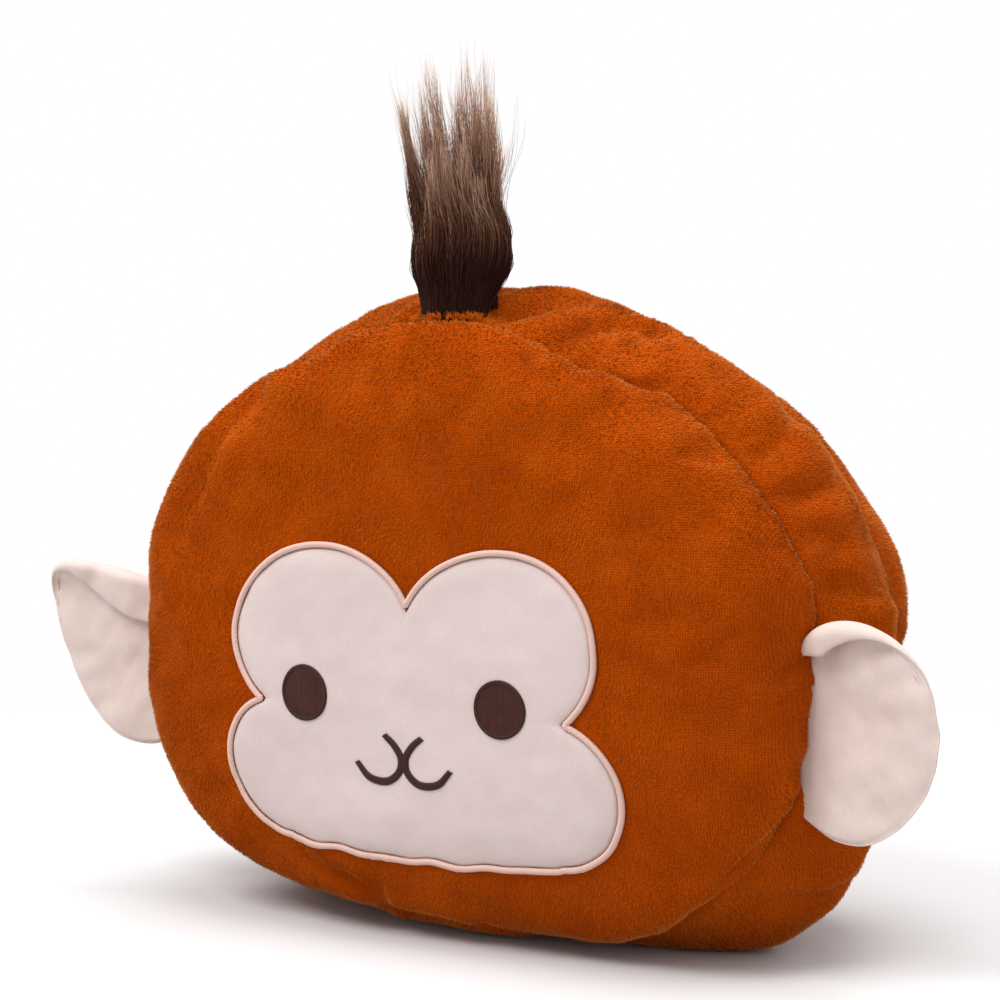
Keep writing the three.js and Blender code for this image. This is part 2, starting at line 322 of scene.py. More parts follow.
# Folds pressed into the cover: points along each, half width and depth.
FOLDS = [
    ([(-62, 0, 128), (-112, 0, 106), (-150, 0, 70)], 30, 4.6),
    ([(-180, 10, -46), (-170, 10, -104)], 26, 2.6),
    ([(188, 45, 52), (196, 45, 8)], 24, 3.4),
    ([(30, 9, 137), (38, 24, 139), (50, 34, 137)], 7, 4.0),
    ([(61, 3, 124), (66, 22, 131), (80, 32, 128), (97, 33, 118)], 5, 3.6),
    ([(152, 14, 75), (147, 40, 87), (135, 66, 95)], 6, 3.0),
    ([(165, 8, 57), (174, 34, 62), (170, 62, 70)], 5, 2.6),
    ([(180, 6, 20), (192, 30, 18), (196, 52, 22)], 5, 2.2),
    ([(128, -22, 68), (140, -8, 72)], 6, 1.8),
    ([(100, -30, 90), (118, -10, 86)], 7, 1.6),
    ([(150, -30, 30), (168, -10, 34)], 7, 1.6),
    ([(-98, -36, 92), (-122, -43, 58), (-138, -43, 28), (-146, -43, 2)], 6, 2.6),
    ([(-66, -42, -127), (-42, -40, -134), (-20, -36, -141)], 5, 3.0),
    ([(-30, -28, -150), (10, -26, -153), (40, -22, -155)], 6, 2.4),
    ([(176, -6, -86), (166, -16, -102), (154, -20, -116)], 5, 3.4),
    ([(158, -4, -118), (182, 16, -106), (196, 34, -92)], 5, 3.2),
    ([(156, -2, -124), (176, 22, -124), (186, 44, -116)], 6, 3.0),
    ([(150, -26, -100), (128, -36, -108)], 8, 1.6),
    ([(-160, -8, -106), (-178, 20, -98)], 6, 2.6),
    ([(-176, -6, -60), (-192, 26, -56)], 7, 2.0),
    ([(60, 90, 128), (40, 112, 112), (30, 130, 80)], 9, 2.4),
    ([(-90, 92, 112), (-70, 116, 92)], 8, 2.4),
    ([(-150, 96, -92), (-120, 120, -80)], 9, 2.6),
    ([(140, 98, -96), (112, 122, -84)], 9, 2.6),
    ([(10, 96, -148), (4, 122, -124)], 8, 2.2),
]


def waves(points, size, seed, count=14):
    """Smooth noise about a size across, from -1 to 1 or so: a sum of waves in random directions."""
    draw = np.random.default_rng(seed)
    directions = draw.normal(size=(count, points.shape[1]))
    directions /= np.linalg.norm(directions, axis=1)[:, None]
    pace = 2 * math.pi / (size * draw.uniform(0.7, 1.6, count))
    phase = draw.uniform(0, 2 * math.pi, count)
    return np.sin(points @ (directions * pace[:, None]).T + phase).sum(axis=1) / math.sqrt(count)


def seam_distance(points):
    """How far each point lies from the nearer of the two long seams, across the cloth."""
    angle = np.arctan2(points[:, 2], points[:, 0])
    inside = (1 - np.hypot(points[:, 0], points[:, 2]) / seam_radius(angle)) * 160
    found = []
    for seam_y in (0, GUSSET_WIDTH):
        found.append(np.hypot(points[:, 1] - seam_y, np.minimum(inside, 0) * 0.3 + np.maximum(inside, 0)))
    return np.minimum(*found)


def smoothed(cover, values, rounds):
    """Values at the vertices averaged over their neighbours, some rounds over."""
    edges = np.empty(len(cover.data.edges) * 2, int)
    cover.data.edges.foreach_get("vertices", edges)
    a, b = edges[0::2], edges[1::2]
    count = np.bincount(edges, minlength=len(values))[:, None]
    for _ in range(rounds):
        total = np.column_stack([
            np.bincount(a, values[b, axis], len(values)) + np.bincount(b, values[a, axis], len(values))
            for axis in range(3)])
        values = 0.5 * values + 0.5 * total / count
    return values


def blow_up(cover, drawn):
    """Fills the cover: cloth under pressure, with its seams drawn shorter than the cloth beside them."""
    before = get_points(cover)
    set_points(cover, before * MM)
    group = cover.vertex_groups.new(name="drawn")
    for level in np.unique(np.round(drawn, 2)):
        if level > 0:
            chosen = np.flatnonzero(np.round(drawn, 2) == level)
            group.add(chosen.tolist(), float(level), "REPLACE")
    filling = cover.modifiers.new("Filling", "CLOTH")
    cloth = filling.settings
    cloth.quality = 5
    cloth.mass = 0.3
    cloth.tension_stiffness = 12
    cloth.compression_stiffness = 12
    cloth.shear_stiffness = 4
    cloth.bending_stiffness = 3
    cloth.use_pressure = True
    cloth.uniform_pressure_force = 4
    cloth.vertex_group_shrink = "drawn"
    cloth.shrink_min = 0
    cloth.shrink_max = SEAM_DRAW
    cloth.effector_weights.gravity = 0
    filling.point_cache.frame_end = FILL_FRAMES
    for step in range(1, FILL_FRAMES + 1):
        bpy.context.scene.frame_set(step)
    evaluated = cover.evaluated_get(bpy.context.evaluated_depsgraph_get())
    flat = np.empty(len(before) * 3)
    evaluated.data.vertices.foreach_get("co", flat)
    moved = flat.reshape(-1, 3) / MM - before
    cover.modifiers.remove(filling)
    bpy.context.scene.frame_set(1)
    return moved


def along_fold(points, line):
    """Distance of each point from a bent line, and its place along it from 0 to 1."""
    line = np.asarray(line, float)
    lengths = np.linalg.norm(np.diff(line, axis=0), axis=1)
    starts = np.concatenate([[0], np.cumsum(lengths)])
    nearest = np.full(len(points), np.inf)
    place = np.zeros(len(points))
    for start, end, length, run in zip(line, line[1:], lengths, starts):
        share = np.clip(((points - start) @ (end - start)) / length ** 2, 0, 1)
        distance = np.linalg.norm(points - start - share[:, None] * (end - start), axis=1)
        closer = distance < nearest
        nearest = np.where(closer, distance, nearest)
        place = np.where(closer, (run + share * length) / starts[-1], place)
    return nearest, place


def press_folds(points):
    """How far the folds press each point of the cover inwards, with a swelling on either side."""
    depth = np.zeros(len(points))
    for line, width, deep in FOLDS:
        distance, place = along_fold(points, line)
        fade = np.sin(math.pi * np.clip(0.12 + 0.88 * place, 0, 1)) ** 0.6
        valley = np.exp(-(distance / width) ** 2)
        swelling = np.exp(-((distance - 2.1 * width) / (1.1 * width)) ** 2)
        depth += FOLD_DEPTH * deep * fade * (valley - FOLD_SWELLING * swelling)
    return depth


def settle(points):
    """Slumps the filled cover towards +X and flattens it softly on the floor."""
    points = points.copy()
    points[:, 2] += SAG_SLOPE * points[:, 0]
    above = points[:, 2] - FLOOR
    points[:, 2] = FLOOR + FLOOR_SOFTNESS * np.logaddexp(0, above / FLOOR_SOFTNESS)
    return points


def seam_slid(points, flat):
    """The front seam slid forwards over the top and at the low +X corner, where the gusset is full."""
    x, y, z = flat.T
    top = smoothstep(60, 100, z) * smoothstep(120, 60, np.abs(x - 5))
    corner = np.exp(-((x - 150) ** 2 + (z + 118) ** 2) / 42 ** 2)
    near = (np.exp(-(y / 26) ** 2) * np.maximum(top, corner))[:, None]
    outwards = np.column_stack([x, np.zeros(len(x)), z])
    outwards /= np.linalg.norm(outwards, axis=1)[:, None] + 1e-6
    return points - near * (np.array([0, SEAM_SLIDE, 0]) + SEAM_DIP * outwards)


def filled_cover():
    """The cover as it is stuffed, creased, slumped and stood on the floor."""
    cover = sewn_cover()
    flat = get_points(cover)
    normals = get_normals(cover)
    distance = seam_distance(flat)
    on_gusset = (flat[:, 1] > 0.5) & (flat[:, 1] < GUSSET_WIDTH - 0.5)
    drawn = np.clip(1 - distance / 9, 0, 1) * np.where(on_gusset, 0.6, 1)
    moved = np.zeros_like(flat)
    moved = blow_up(cover, drawn)
    moved -= smoothed(cover, moved, 90)
    reach = np.linalg.norm(moved, axis=1)[:, None]
    moved *= np.minimum(1, FILL_CAP / np.maximum(reach, 1e-9))
    share = np.hypot(flat[:, 0], flat[:, 2]) / seam_radius(np.arctan2(flat[:, 2], flat[:, 0]))
    moved *= PUCKER_KEPT * smoothstep(CAP_SHARE + 0.06, CAP_SHARE + 0.25, share)[:, None]
    along_seam = np.column_stack([flat[:, 0], flat[:, 2]])
    near = np.exp(-distance / PUCKER_REACH) * smoothstep(0, 6, distance)
    uneven = 0.6 + 0.4 * waves(flat, 60, 4)
    pucker = PUCKER_DEPTH * near * waves(along_seam, PUCKER_WIDTH, 3) * uneven
    groove = GROOVE_DEPTH * np.exp(-(distance / GROOVE_WIDTH) ** 2)
    shoulder = SHOULDER_HEIGHT * np.exp(-(distance / SHOULDER_WIDTH) ** 2)
    lumps = waves(flat, 75, 5) + 0.25 * waves(flat, 28, 6)
    height = pucker - groove + shoulder + lumps - press_folds(flat)
    points = settle(seam_slid(flat + moved + normals * height[:, None], flat))
    set_points(cover, points)
    stored(cover, "sewn_y", flat[:, 1])
    return smooth_shaded(cover)


def sewn_y_of(cover):
    """Where each vertex lay across the gusset before the cover was filled."""
    sewn_y = np.empty(len(cover.data.vertices), np.float32)
    cover.data.attributes["sewn_y"].data.foreach_get("value", sewn_y)
    return sewn_y


# ---- cutting the cover into its three cloths ----

def cut_panels(cover):
    """The cover's three cloths, each still a single skin."""
    sewn_y = sewn_y_of(cover)
    corners = np.empty(len(cover.data.loops), int)
    cover.data.loops.foreach_get("vertex_index", corners)
    starts = np.empty(len(cover.data.polygons), int)
    cover.data.polygons.foreach_get("loop_start", starts)
    middle = np.add.reduceat(sewn_y[corners], starts) / np.diff(np.append(starts, len(corners)))
    cloths = []
    for name, chosen in (("front_panel_cloth", middle < 0),
                         ("gusset_cloth", (middle > 0) & (middle < GUSSET_WIDTH)),
                         ("back_panel_cloth", middle > GUSSET_WIDTH)):
        cloth = copied(cover, name)
        select_where(cloth, ~chosen, "FACE")
        bpy.ops.mesh.delete(type="FACE")
        bpy.ops.object.mode_set(mode="OBJECT")
        cloths.append(cloth)
    return cloths


def thicken(piece, thickness, group=""):
    """Gives a skin its cloth's thickness, inwards, thinner where a vertex group says so."""
    wall = piece.modifiers.new("Cloth thickness", "SOLIDIFY")
    wall.thickness = thickness
    wall.offset = -1
    wall.vertex_group = group
    apply_modifier(piece, wall)
    return piece


def into_row(piece):
    """Puts a piece made in the pillow's own frame at its place in the row frame, in metres."""
    set_points(piece, in_row(get_points(piece)))


# ---- strands and the short pile ----

PILE_LENGTH = 2.2
PILE_SPACING = 1.0
BACK_PILE_SPACING = 1.12
PILE_THICKNESS = 0.29
PILE_LEAN = 38  # degrees off upright, and how much more where it is brushed flat
BRUSHED_LEAN = 16
LEAN_SCATTER = 7
COMB_SCATTER = 0.24
STRAND_ROUNDNESS = 0.24  # how much of a strand's own roundness shows over its cloth's shape


def strand_mesh(name, lines, radii, tone, normals=None):
    """Three-sided tapering strands, one for each row of points in lines, closed at both ends."""
    count, steps, _ = lines.shape
    rings = steps - 1
    direction = lines[:, -1] - lines[:, 0]
    direction /= np.linalg.norm(direction, axis=1)[:, None]
    aside = np.cross(direction, rng.normal(size=direction.shape))
    aside /= np.linalg.norm(aside, axis=1)[:, None]
    across = np.cross(direction, aside)
    per_strand = 3 * rings + 1
    points = np.empty((count, per_strand, 3))
    out = np.empty((count, per_strand, 3))
    for corner in range(3):
        turn = 2 * math.pi * corner / 3
        spoke = math.cos(turn) * aside + math.sin(turn) * across
        points[:, corner:3 * rings:3] = lines[:, :rings] + spoke[:, None] * radii[:, :rings, None]
        out[:, corner:3 * rings:3] = spoke[:, None]
    points[:, -1] = lines[:, -1]
    out[:, -1] = direction
    faces = []
    for ring in range(rings - 1):
        for corner in range(3):
            beside = (corner + 1) % 3
            faces.append((3 * ring + corner, 3 * ring + beside,
                          3 * ring + 3 + beside, 3 * ring + 3 + corner))
    last = 3 * (rings - 1)
    caps = [(last, last + 1, 3 * rings), (last + 1, last + 2, 3 * rings), (last + 2, last, 3 * rings)]
    caps.append((2, 1, 0))
    pattern = np.array([corner for face in faces + caps for corner in face])
    sizes = np.array([len(face) for face in faces + caps])
    offsets = np.arange(count)[:, None] * per_strand
    corners = (offsets + pattern).ravel()
    all_sizes = np.tile(sizes, count)
    mesh = bpy.data.meshes.new(name)
    mesh.vertices.add(count * per_strand)
    mesh.vertices.foreach_set("co", in_row(points.reshape(-1, 3)).astype(np.float32).ravel())
    mesh.loops.add(len(corners))
    mesh.loops.foreach_set("vertex_index", corners.astype(np.int32))
    mesh.polygons.add(len(all_sizes))
    mesh.polygons.foreach_set(
        "loop_start", np.concatenate([[0], np.cumsum(all_sizes)[:-1]]).astype(np.int32))
    mesh.update(calc_edges=True)
    mesh.polygons.foreach_set("use_smooth", np.ones(len(all_sizes), bool))
    along = np.append(np.repeat(np.arange(rings), 3), rings) / rings
    for label, values in (("along", np.tile(along, count)), ("tone", np.repeat(tone, per_strand))):
        attribute = mesh.attributes.new(label, "FLOAT", "POINT")
        attribute.data.foreach_set("value", values.astype(np.float32))
    if normals is not None:
        blended = normals[:, None] + STRAND_ROUNDNESS * out
        blended /= np.linalg.norm(blended, axis=2)[:, :, None]
        mesh.normals_split_custom_set_from_vertices(blended.reshape(-1, 3).tolist())
    return add_linked(name, mesh)


def scattered_on(skin, spacing):
    """Points spread evenly at random over a skin, with the skin's smooth normal at each."""
    skin.data.calc_loop_triangles()
    triangles = np.empty(len(skin.data.loop_triangles) * 3, int)
    skin.data.loop_triangles.foreach_get("vertices", triangles)
    triangles = triangles.reshape(-1, 3)
    points, normals = get_points(skin), get_normals(skin)
    a, b, c = (points[triangles[:, corner]] for corner in range(3))
    area = np.linalg.norm(np.cross(b - a, c - a), axis=1) / 2
    total = np.cumsum(area)
    count = int(total[-1] / spacing ** 2)
    pick = (np.arange(count) + rng.uniform(0, 1, count)) * spacing ** 2
    chosen = np.minimum(np.searchsorted(total, pick), len(area) - 1)
    u, v = rng.uniform(0, 1, (2, count))
    over = u + v > 1
    u[over], v[over] = 1 - u[over], 1 - v[over]
    weights = np.column_stack([1 - u - v, u, v])
    corners = triangles[chosen]
    at = (points[corners] * weights[:, :, None]).sum(axis=1)
    normal = (normals[corners] * weights[:, :, None]).sum(axis=1)
    return at, normal / np.linalg.norm(normal, axis=1)[:, None]


def grow_pile(skin, names, keep, spacing=PILE_SPACING):
    """The short plush pile of a cloth, brushed roughly downwards and shared out between pieces."""
    at, normal = scattered_on(skin, spacing)
    kept = keep(at)
    at, normal = at[kept], normal[kept]
    down = np.array([0.25, 0.15, -1.0])
    comb = down - (normal @ down)[:, None] * normal
    swirl = 0.5 * waves(at, 48, 11) + 0.3 * waves(at, 11, 12)
    aside = np.cross(normal, comb)
    comb = comb * np.cos(swirl)[:, None] + aside * np.sin(swirl)[:, None]
    comb += COMB_SCATTER * rng.normal(size=comb.shape)
    comb -= (comb * normal).sum(axis=1)[:, None] * normal
    comb /= np.maximum(np.linalg.norm(comb, axis=1), 1e-6)[:, None]
    brushed = 0.5 + 0.5 * np.tanh(1.3 * waves(at, 26, 13))
    lean = np.radians(PILE_LEAN + BRUSHED_LEAN * brushed + LEAN_SCATTER * rng.normal(size=len(at)))[:, None]
    length = PILE_LENGTH * (0.85 + 0.12 * rng.normal(size=len(at)).clip(-2, 2))[:, None]
    near_floor = smoothstep(0.5, 6, at[:, 2] - FLOOR)[:, None]
    direction = np.cos(lean) * near_floor * normal + np.sin(lean) * comb
    root = at - 0.25 * normal
    tip = root + length * direction
    tip[:, 2] = np.maximum(tip[:, 2], FLOOR + 0.05)
    lines = np.stack([root, tip], axis=1)
    radii = np.tile([PILE_THICKNESS, 0.0], (len(at), 1)) * rng.uniform(0.8, 1.25, (len(at), 1))
    # Tone is partly random and partly painted sheen: strands brushed flatter are painted lighter.
    tone = np.clip(0.5 + 0.22 * rng.normal(size=len(at)) + 0.25 * (brushed - 0.5), 0, 1)
    order = np.argsort(np.arctan2(at[:, 2], at[:, 0])) if len(names) > 1 else np.arange(len(at))
    pieces = []
    for name, share in zip(names, np.array_split(order, len(names))):
        pieces.append(strand_mesh(name, lines[share], radii[share], tone[share], normal[share]))
    return pieces


# ---- the face ----

FACE_CENTRE_Z = -45
CHEEKS = [(48.3, -17, 51.2, 42), (74, -80.5, 33.5, 32)]  # x, z, half width, half height
CHIN_HALF_WIDTH = 74
CHIN_Z = -117
CHIN_RADIUS = 770
CHIN_RUFFLE = 0.55
PATCH_PUFF = 2.0
BORDER_WIDTH = 3.0
BORDER_OFFSET = 1.4
SATIN_PITCH = 0.62
THREAD_BED = 0.5


def patch_radius(angle):
    """Distance from the face's centre to the edge of the pale patch."""
    cos, sin = np.cos(angle), np.sin(angle)
    start = FACE_CENTRE_Z - (CHIN_Z + CHIN_RADIUS)
    half = start * sin
    to_arc = -half + np.sqrt(half * half - start * start + CHIN_RADIUS ** 2)
    to_side = CHIN_HALF_WIDTH / np.maximum(np.abs(cos), 1e-6)
    reach = np.where(sin < 0, np.minimum(to_arc, to_side), 0)
    for side in (-1, 1):
        for x, z, half_width, half_height in CHEEKS:
            from_x, from_z = -side * x, FACE_CENTRE_Z - z
            a = (cos / half_width) ** 2 + (sin / half_height) ** 2
            b = from_x * cos / half_width ** 2 + from_z * sin / half_height ** 2
            c = (from_x / half_width) ** 2 + (from_z / half_height) ** 2 - 1
            root = b * b - a * c
            through = (-b + np.sqrt(np.maximum(root, 0))) / a
            reach = np.maximum(reach, np.where(root < 0, 0, through))
    return reach


def outside_patch(points, margin):
    """Which points of the front lie clear of the patch's edge by a margin."""
    x = points[:, 0] - face_shift(points[:, 2])
    z = points[:, 2] - FACE_CENTRE_Z
    angle = np.arctan2(z, x)
    spread = np.radians(np.linspace(-3, 3, 7))[:, None]
    reach = np.max(patch_radius(angle + spread), axis=0)
    return (np.hypot(x, z) > reach + margin) | (points[:, 1] > -5)


def face_shift(z):
    """How far the sewn face has slid towards +X at a height."""
    return 0.08 * np.maximum(0, -14 - z) + 0.06 * np.maximum(0, z + 45)


def slumped(flat):
    """Flat (x, z) points of the face once it has slid, with the ruffle along its chin."""
    flat = np.array(flat, float)
    ruffle = np.sin(flat[:, 0] / 4.3) + 0.8 * np.sin(flat[:, 0] / 7.1 + 1)
    on_chin = smoothstep(-98, -114, flat[:, 1]) * smoothstep(80, 50, np.abs(flat[:, 0] + 15))
    flat[:, 1] += CHIN_RUFFLE * ruffle * on_chin
    flat[:, 0] += face_shift(flat[:, 1])
    return flat


def face_outline(count):
    """Evenly spaced points (x, z) round the edge of the pale patch, anticlockwise."""
    angle = np.linspace(-math.pi, math.pi, 4001)
    reach = patch_radius(angle)
    x, z = slumped(np.column_stack([reach * np.cos(angle), FACE_CENTRE_Z + reach * np.sin(angle)])).T
    length = np.concatenate([[0], np.cumsum(np.hypot(np.diff(x), np.diff(z)))])
    stations = np.linspace(0, length[-1], count, endpoint=False)
    return np.column_stack([np.interp(stations, length, x), np.interp(stations, length, z)])


def border_line():
    """The middle of the stitched border, outside the patch's edge, with its clefts left sharp."""
    outline = face_outline(1400)
    tangent = np.roll(outline, -3, axis=0) - np.roll(outline, 3, axis=0)
    tangent /= np.linalg.norm(tangent, axis=1)[:, None]
    outward = np.column_stack([tangent[:, 1], -tangent[:, 0]])
    line = outline + BORDER_OFFSET * outward
    clear = np.array([np.min(np.hypot(*(outline - point).T)) > BORDER_OFFSET - 0.06 for point in line])
    line = line[clear]
    for _ in range(6):
        line = (np.roll(line, 1, axis=0) + 2 * line + np.roll(line, -1, axis=0)) / 4
    return line


class Lay:
    """Lays flat (x, z) points on a skin of the pillow, straight back from the front."""

    def __init__(self, skin):
        points = [Vector(point) for point in get_points(skin)]
        self.tree = BVHTree.FromPolygons(points, [tuple(face.vertices) for face in skin.data.polygons])

    def depth(self, x, z):
        hit = self.tree.ray_cast(Vector((x, -400, z)), Vector((0, 1, 0)))[0]
        return hit.y if hit else 0.0

    def on(self, flat, lift, reach=2.0):
        """Points on the skin and raised off it along its slope, which is averaged over a reach."""
        flat = np.asarray(flat, float)
        here, right, left, up, down = (
            np.array([self.depth(x + dx, z + dz) for x, z in flat])
            for dx, dz in ((0, 0), (reach, 0), (-reach, 0), (0, reach), (0, -reach)))
        slope = np.column_stack([(right - left), np.full(len(flat), -2.0 * reach), (up - down)])
        slope /= np.linalg.norm(slope, axis=1)[:, None]
        middle = (here * 2 + right + left + up + down) / 6
        surface = np.column_stack([flat[:, 0], middle, flat[:, 1]])
        return surface + slope * np.reshape(lift, (-1, 1)), slope


def grid_piece(name, across, along, closed_along=False):
    """A grid primitive with across x along vertices; closed_along is not used."""
    bpy.ops.mesh.primitive_grid_add(x_subdivisions=across - 1, y_subdivisions=along - 1, size=2)
    piece = finish_primitive(name)
    flat = get_points(piece)
    column = np.rint((flat[:, 0] + 1) / 2 * (across - 1)).astype(int)
    row = np.rint((flat[:, 1] + 1) / 2 * (along - 1)).astype(int)
    return piece, column, row


def merged(piece, distance):
    """Welds the vertices that lie on one another and turns the faces outwards."""
    edit(piece)
    bpy.ops.mesh.select_all(action="SELECT")
    bpy.ops.mesh.remove_doubles(threshold=distance)
    bpy.ops.mesh.normals_make_consistent(inside=False)
    bpy.ops.object.mode_set(mode="OBJECT")
    return piece


def add_uv(piece, u, v):
    """A UV map from one (u, v) for each vertex, in millimetres of cloth or thread."""
    corners = np.empty(len(piece.data.loops), int)
    piece.data.loops.foreach_get("vertex_index", corners)
    layer = piece.data.uv_layers.active or piece.data.uv_layers.new(name="laid")
    layer.uv.foreach_set("vector", np.column_stack([u, v])[corners].astype(np.float32).ravel())


def pale_patch(lay):
    """The velboa patch, pillowed inside its stitched edge, with its size and area while flat."""
    rings, spokes = 44, 320
    bpy.ops.mesh.primitive_circle_add(vertices=spokes, radius=rings, fill_type="NOTHING")
    patch = finish_primitive("face_patch_velboa")
    edit(patch)
    bpy.ops.mesh.select_all(action="SELECT")
    for ring in range(rings - 1, 0, -1):
        bpy.ops.mesh.extrude_region_move()
        share = ring / (ring + 1)
        bpy.ops.transform.resize(value=(share, share, share), center_override=(0, 0, 0))
    bpy.ops.mesh.edge_face_add()
    bpy.ops.mesh.poke()
    bpy.ops.object.mode_set(mode="OBJECT")
    flat = get_points(patch)
    ring = np.hypot(flat[:, 0], flat[:, 1])
    angle = np.arctan2(flat[:, 1], flat[:, 0])
    share = (ring / rings) ** 0.9
    edge = patch_radius(angle)
    x, z = slumped(np.column_stack([share * edge * np.cos(angle),
                                    FACE_CENTRE_Z + share * edge * np.sin(angle)])).T
    inside = (1 - share) * edge
    laid = np.column_stack([x, z])
    lift = 0.5 + PATCH_PUFF * (1 - np.exp(-inside / 3.2)) + 0.12 * waves(laid, 18, 21)
    points, _ = lay.on(laid, lift, reach=4.0)
    set_points(patch, points)
    merged(patch, 1e-4)
    faces_forwards(patch)
    points = get_points(patch)
    add_uv(patch, points[:, 0], points[:, 2])
    thicken(patch, 1.3)
    outline = face_outline(600)
    x, z = outline[:, 0], outline[:, 1]
    area = abs(np.sum(x * np.roll(z, -1) - z * np.roll(x, -1))) / 2
    size = (np.ptp(x) * MM, np.ptp(z) * MM)
    return smooth_shaded(patch), size, area * MM * MM


def satin_band(name, lay, middle, width, lift, height, closed=False, slant=0.25):
    """A band of satin stitches across a line of (x, z) points, each stitch a raised rib."""
    middle = np.asarray(middle, float)
    ends = np.vstack([middle, middle[:1]]) if closed else middle
    length = np.concatenate([[0], np.cumsum(np.linalg.norm(np.diff(ends, axis=0), axis=1))])
    ribs = max(3, int(length[-1] / SATIN_PITCH))
    steps = 4 * ribs + (0 if closed else 1)
    place = np.linspace(0, length[-1], steps, endpoint=not closed)
    line = np.column_stack([np.interp(place, length, ends[:, axis]) for axis in range(2)])
    if closed:
        direction = np.roll(line, -2, axis=0) - np.roll(line, 2, axis=0)
    else:
        direction = np.gradient(line, axis=0)
    direction /= np.linalg.norm(direction, axis=1)[:, None]
    aside = np.column_stack([-direction[:, 1], direction[:, 0]])
    widths = np.atleast_1d(width)
    half = np.interp(place / length[-1], np.linspace(0, 1, len(widths)), widths) / 2
    across = 8
    piece, column, row = grid_piece(name, across + 1, steps)
    turn = np.linspace(0, math.pi, across + 1)
    sway = 0.22 * np.sin(place * 2.7) + 0.12 * np.sin(place * 6.1 + 1)
    rib = 0.5 + 0.5 * np.cos(2 * math.pi * np.arange(steps) / 4)
    edge = half * (0.94 + 0.06 * rib) + 0.12 * sway
    spread = -np.cos(turn[column])
    flat = line[row] + aside[row] * (edge[row] * spread)[:, None]
    flat += direction[row] * (slant * edge[row] * spread)[:, None]
    crown = np.sin(turn[column]) ** 0.7
    narrowed = np.minimum(1, half[row] / (0.3 * half.max()))
    raised = lift + height * crown * (0.86 + 0.14 * rib[row]) * narrowed
    points, _ = lay.on(flat, raised, reach=1.2)
    set_points(piece, points)
    add_uv(piece, place[row], spread * edge[row])
    if closed:
        select_where(piece, (row == 0) | (row == steps - 1))
        bpy.ops.mesh.select_mode(type="EDGE")
        bpy.ops.mesh.bridge_edge_loops()
        bpy.ops.object.mode_set(mode="OBJECT")
    faces_forwards(piece)
    thicken(piece, THREAD_BED)
    return smooth_shaded(piece)


def stitched_disc(name, lay, x, z, radius, lift):
    """An eye filled with rows of upright threads, each dipping where its stitches meet."""
    pitch = 0.42
    thread_radius = 0.24
    columns = np.arange(-radius + pitch, radius - pitch / 2, pitch)
    sides, steps = 6, 30
    points, faces, tone, along = [], [], [], []
    for index, offset in enumerate(columns):
        reach = math.sqrt(radius ** 2 - offset ** 2)
        place = np.linspace(-reach, reach, steps)
        ruffle = 0.05 * np.sin(place * 1.3 + index)
        flat = np.column_stack([x + offset + ruffle, z + place])
        dome = 1 - (np.hypot(offset, place) / radius) ** 2
        dip = np.exp(-(((place + 1.7 * (index % 3)) % 5.1 - 2.5) / 0.35) ** 2)
        middle, slope = lay.on(flat, lift + 0.45 * dome - 0.16 * dip, reach=3.0)
        across = np.cross(slope, np.array([0, 0, 1.0]))
        across /= np.linalg.norm(across, axis=1)[:, None]
        base = len(points)
        for step in range(steps):
            for corner in range(sides):
                turn = 2 * math.pi * corner / sides
                thick = thread_radius * (0.5 if step in (0, steps - 1) else 1)
                points.append(middle[step] + thick * (
                    math.cos(turn) * across[step] + math.sin(turn) * slope[step]))
                tone.append((index * 0.618) % 1)
                along.append(step / (steps - 1))
        for step in range(steps - 1):
            for corner in range(sides):
                beside = (corner + 1) % sides
                low, high = base + step * sides, base + (step + 1) * sides
                faces.append((low + corner, low + beside, high + beside, high + corner))
        faces.append(tuple(base + corner for corner in range(sides))[::-1])
        faces.append(tuple(base + (steps - 1) * sides + corner for corner in range(sides)))
    mesh = bpy.data.meshes.new(name)
    mesh.from_pydata([tuple(point) for point in points], [], faces)
    piece = add_linked(name, mesh)
    stored(piece, "tone", tone)
    stored(piece, "along", along)
    merged(piece, 1e-5)
    return smooth_shaded(piece)


EYE_X = 54.5
EYE_Z = -43.7
EYE_HALF_WIDTH = 13.5
EYE_RIM_WIDTH = 2.0
MOUTH_POINTS = [(10.4, -60), (5, -64.5), (1.3, -70.5), (2.6, -77), (9.5, -81.6), (19.5, -80.5),
                (26.5, -73.8)]
MOUTH_SHIFT = 2
MOUTH_WIDTHS = [3.0, 3.7, 3.9, 3.8, 3.8, 3.6, 2.8]


def through(points, steps):
    """A smooth curve through a few points: Catmull-Rom between each pair."""
    points = np.asarray(points, float)
    padded = np.vstack([2 * points[0] - points[1], points, 2 * points[-1] - points[-2]])
    found = []
    for index in range(len(points) - 1):
        a, b, c, d = padded[index:index + 4]
        t = np.linspace(0, 1, steps, endpoint=False)[:, None]
        found.append(0.5 * (2 * b + (c - a) * t + (2 * a - 5 * b + 4 * c - d) * t ** 2
                            + (3 * b - a - 3 * c + d) * t ** 3))
    return np.vstack(found + [points[-1:]])


def ring_of(x, z, radius, count=120):
    """A circle of (x, z) points."""
    turn = np.linspace(0, 2 * math.pi, count, endpoint=False)
    return np.column_stack([x + radius * np.cos(turn), z + radius * np.sin(turn)])


# ---- ears: front skin, wadding and back skin, with the top edge rolled forwards ----

EAR_ROOT_X = 184.8
EAR_TILT = math.radians(12)
EAR_SKIN = 1.2
WADDING = 2.6
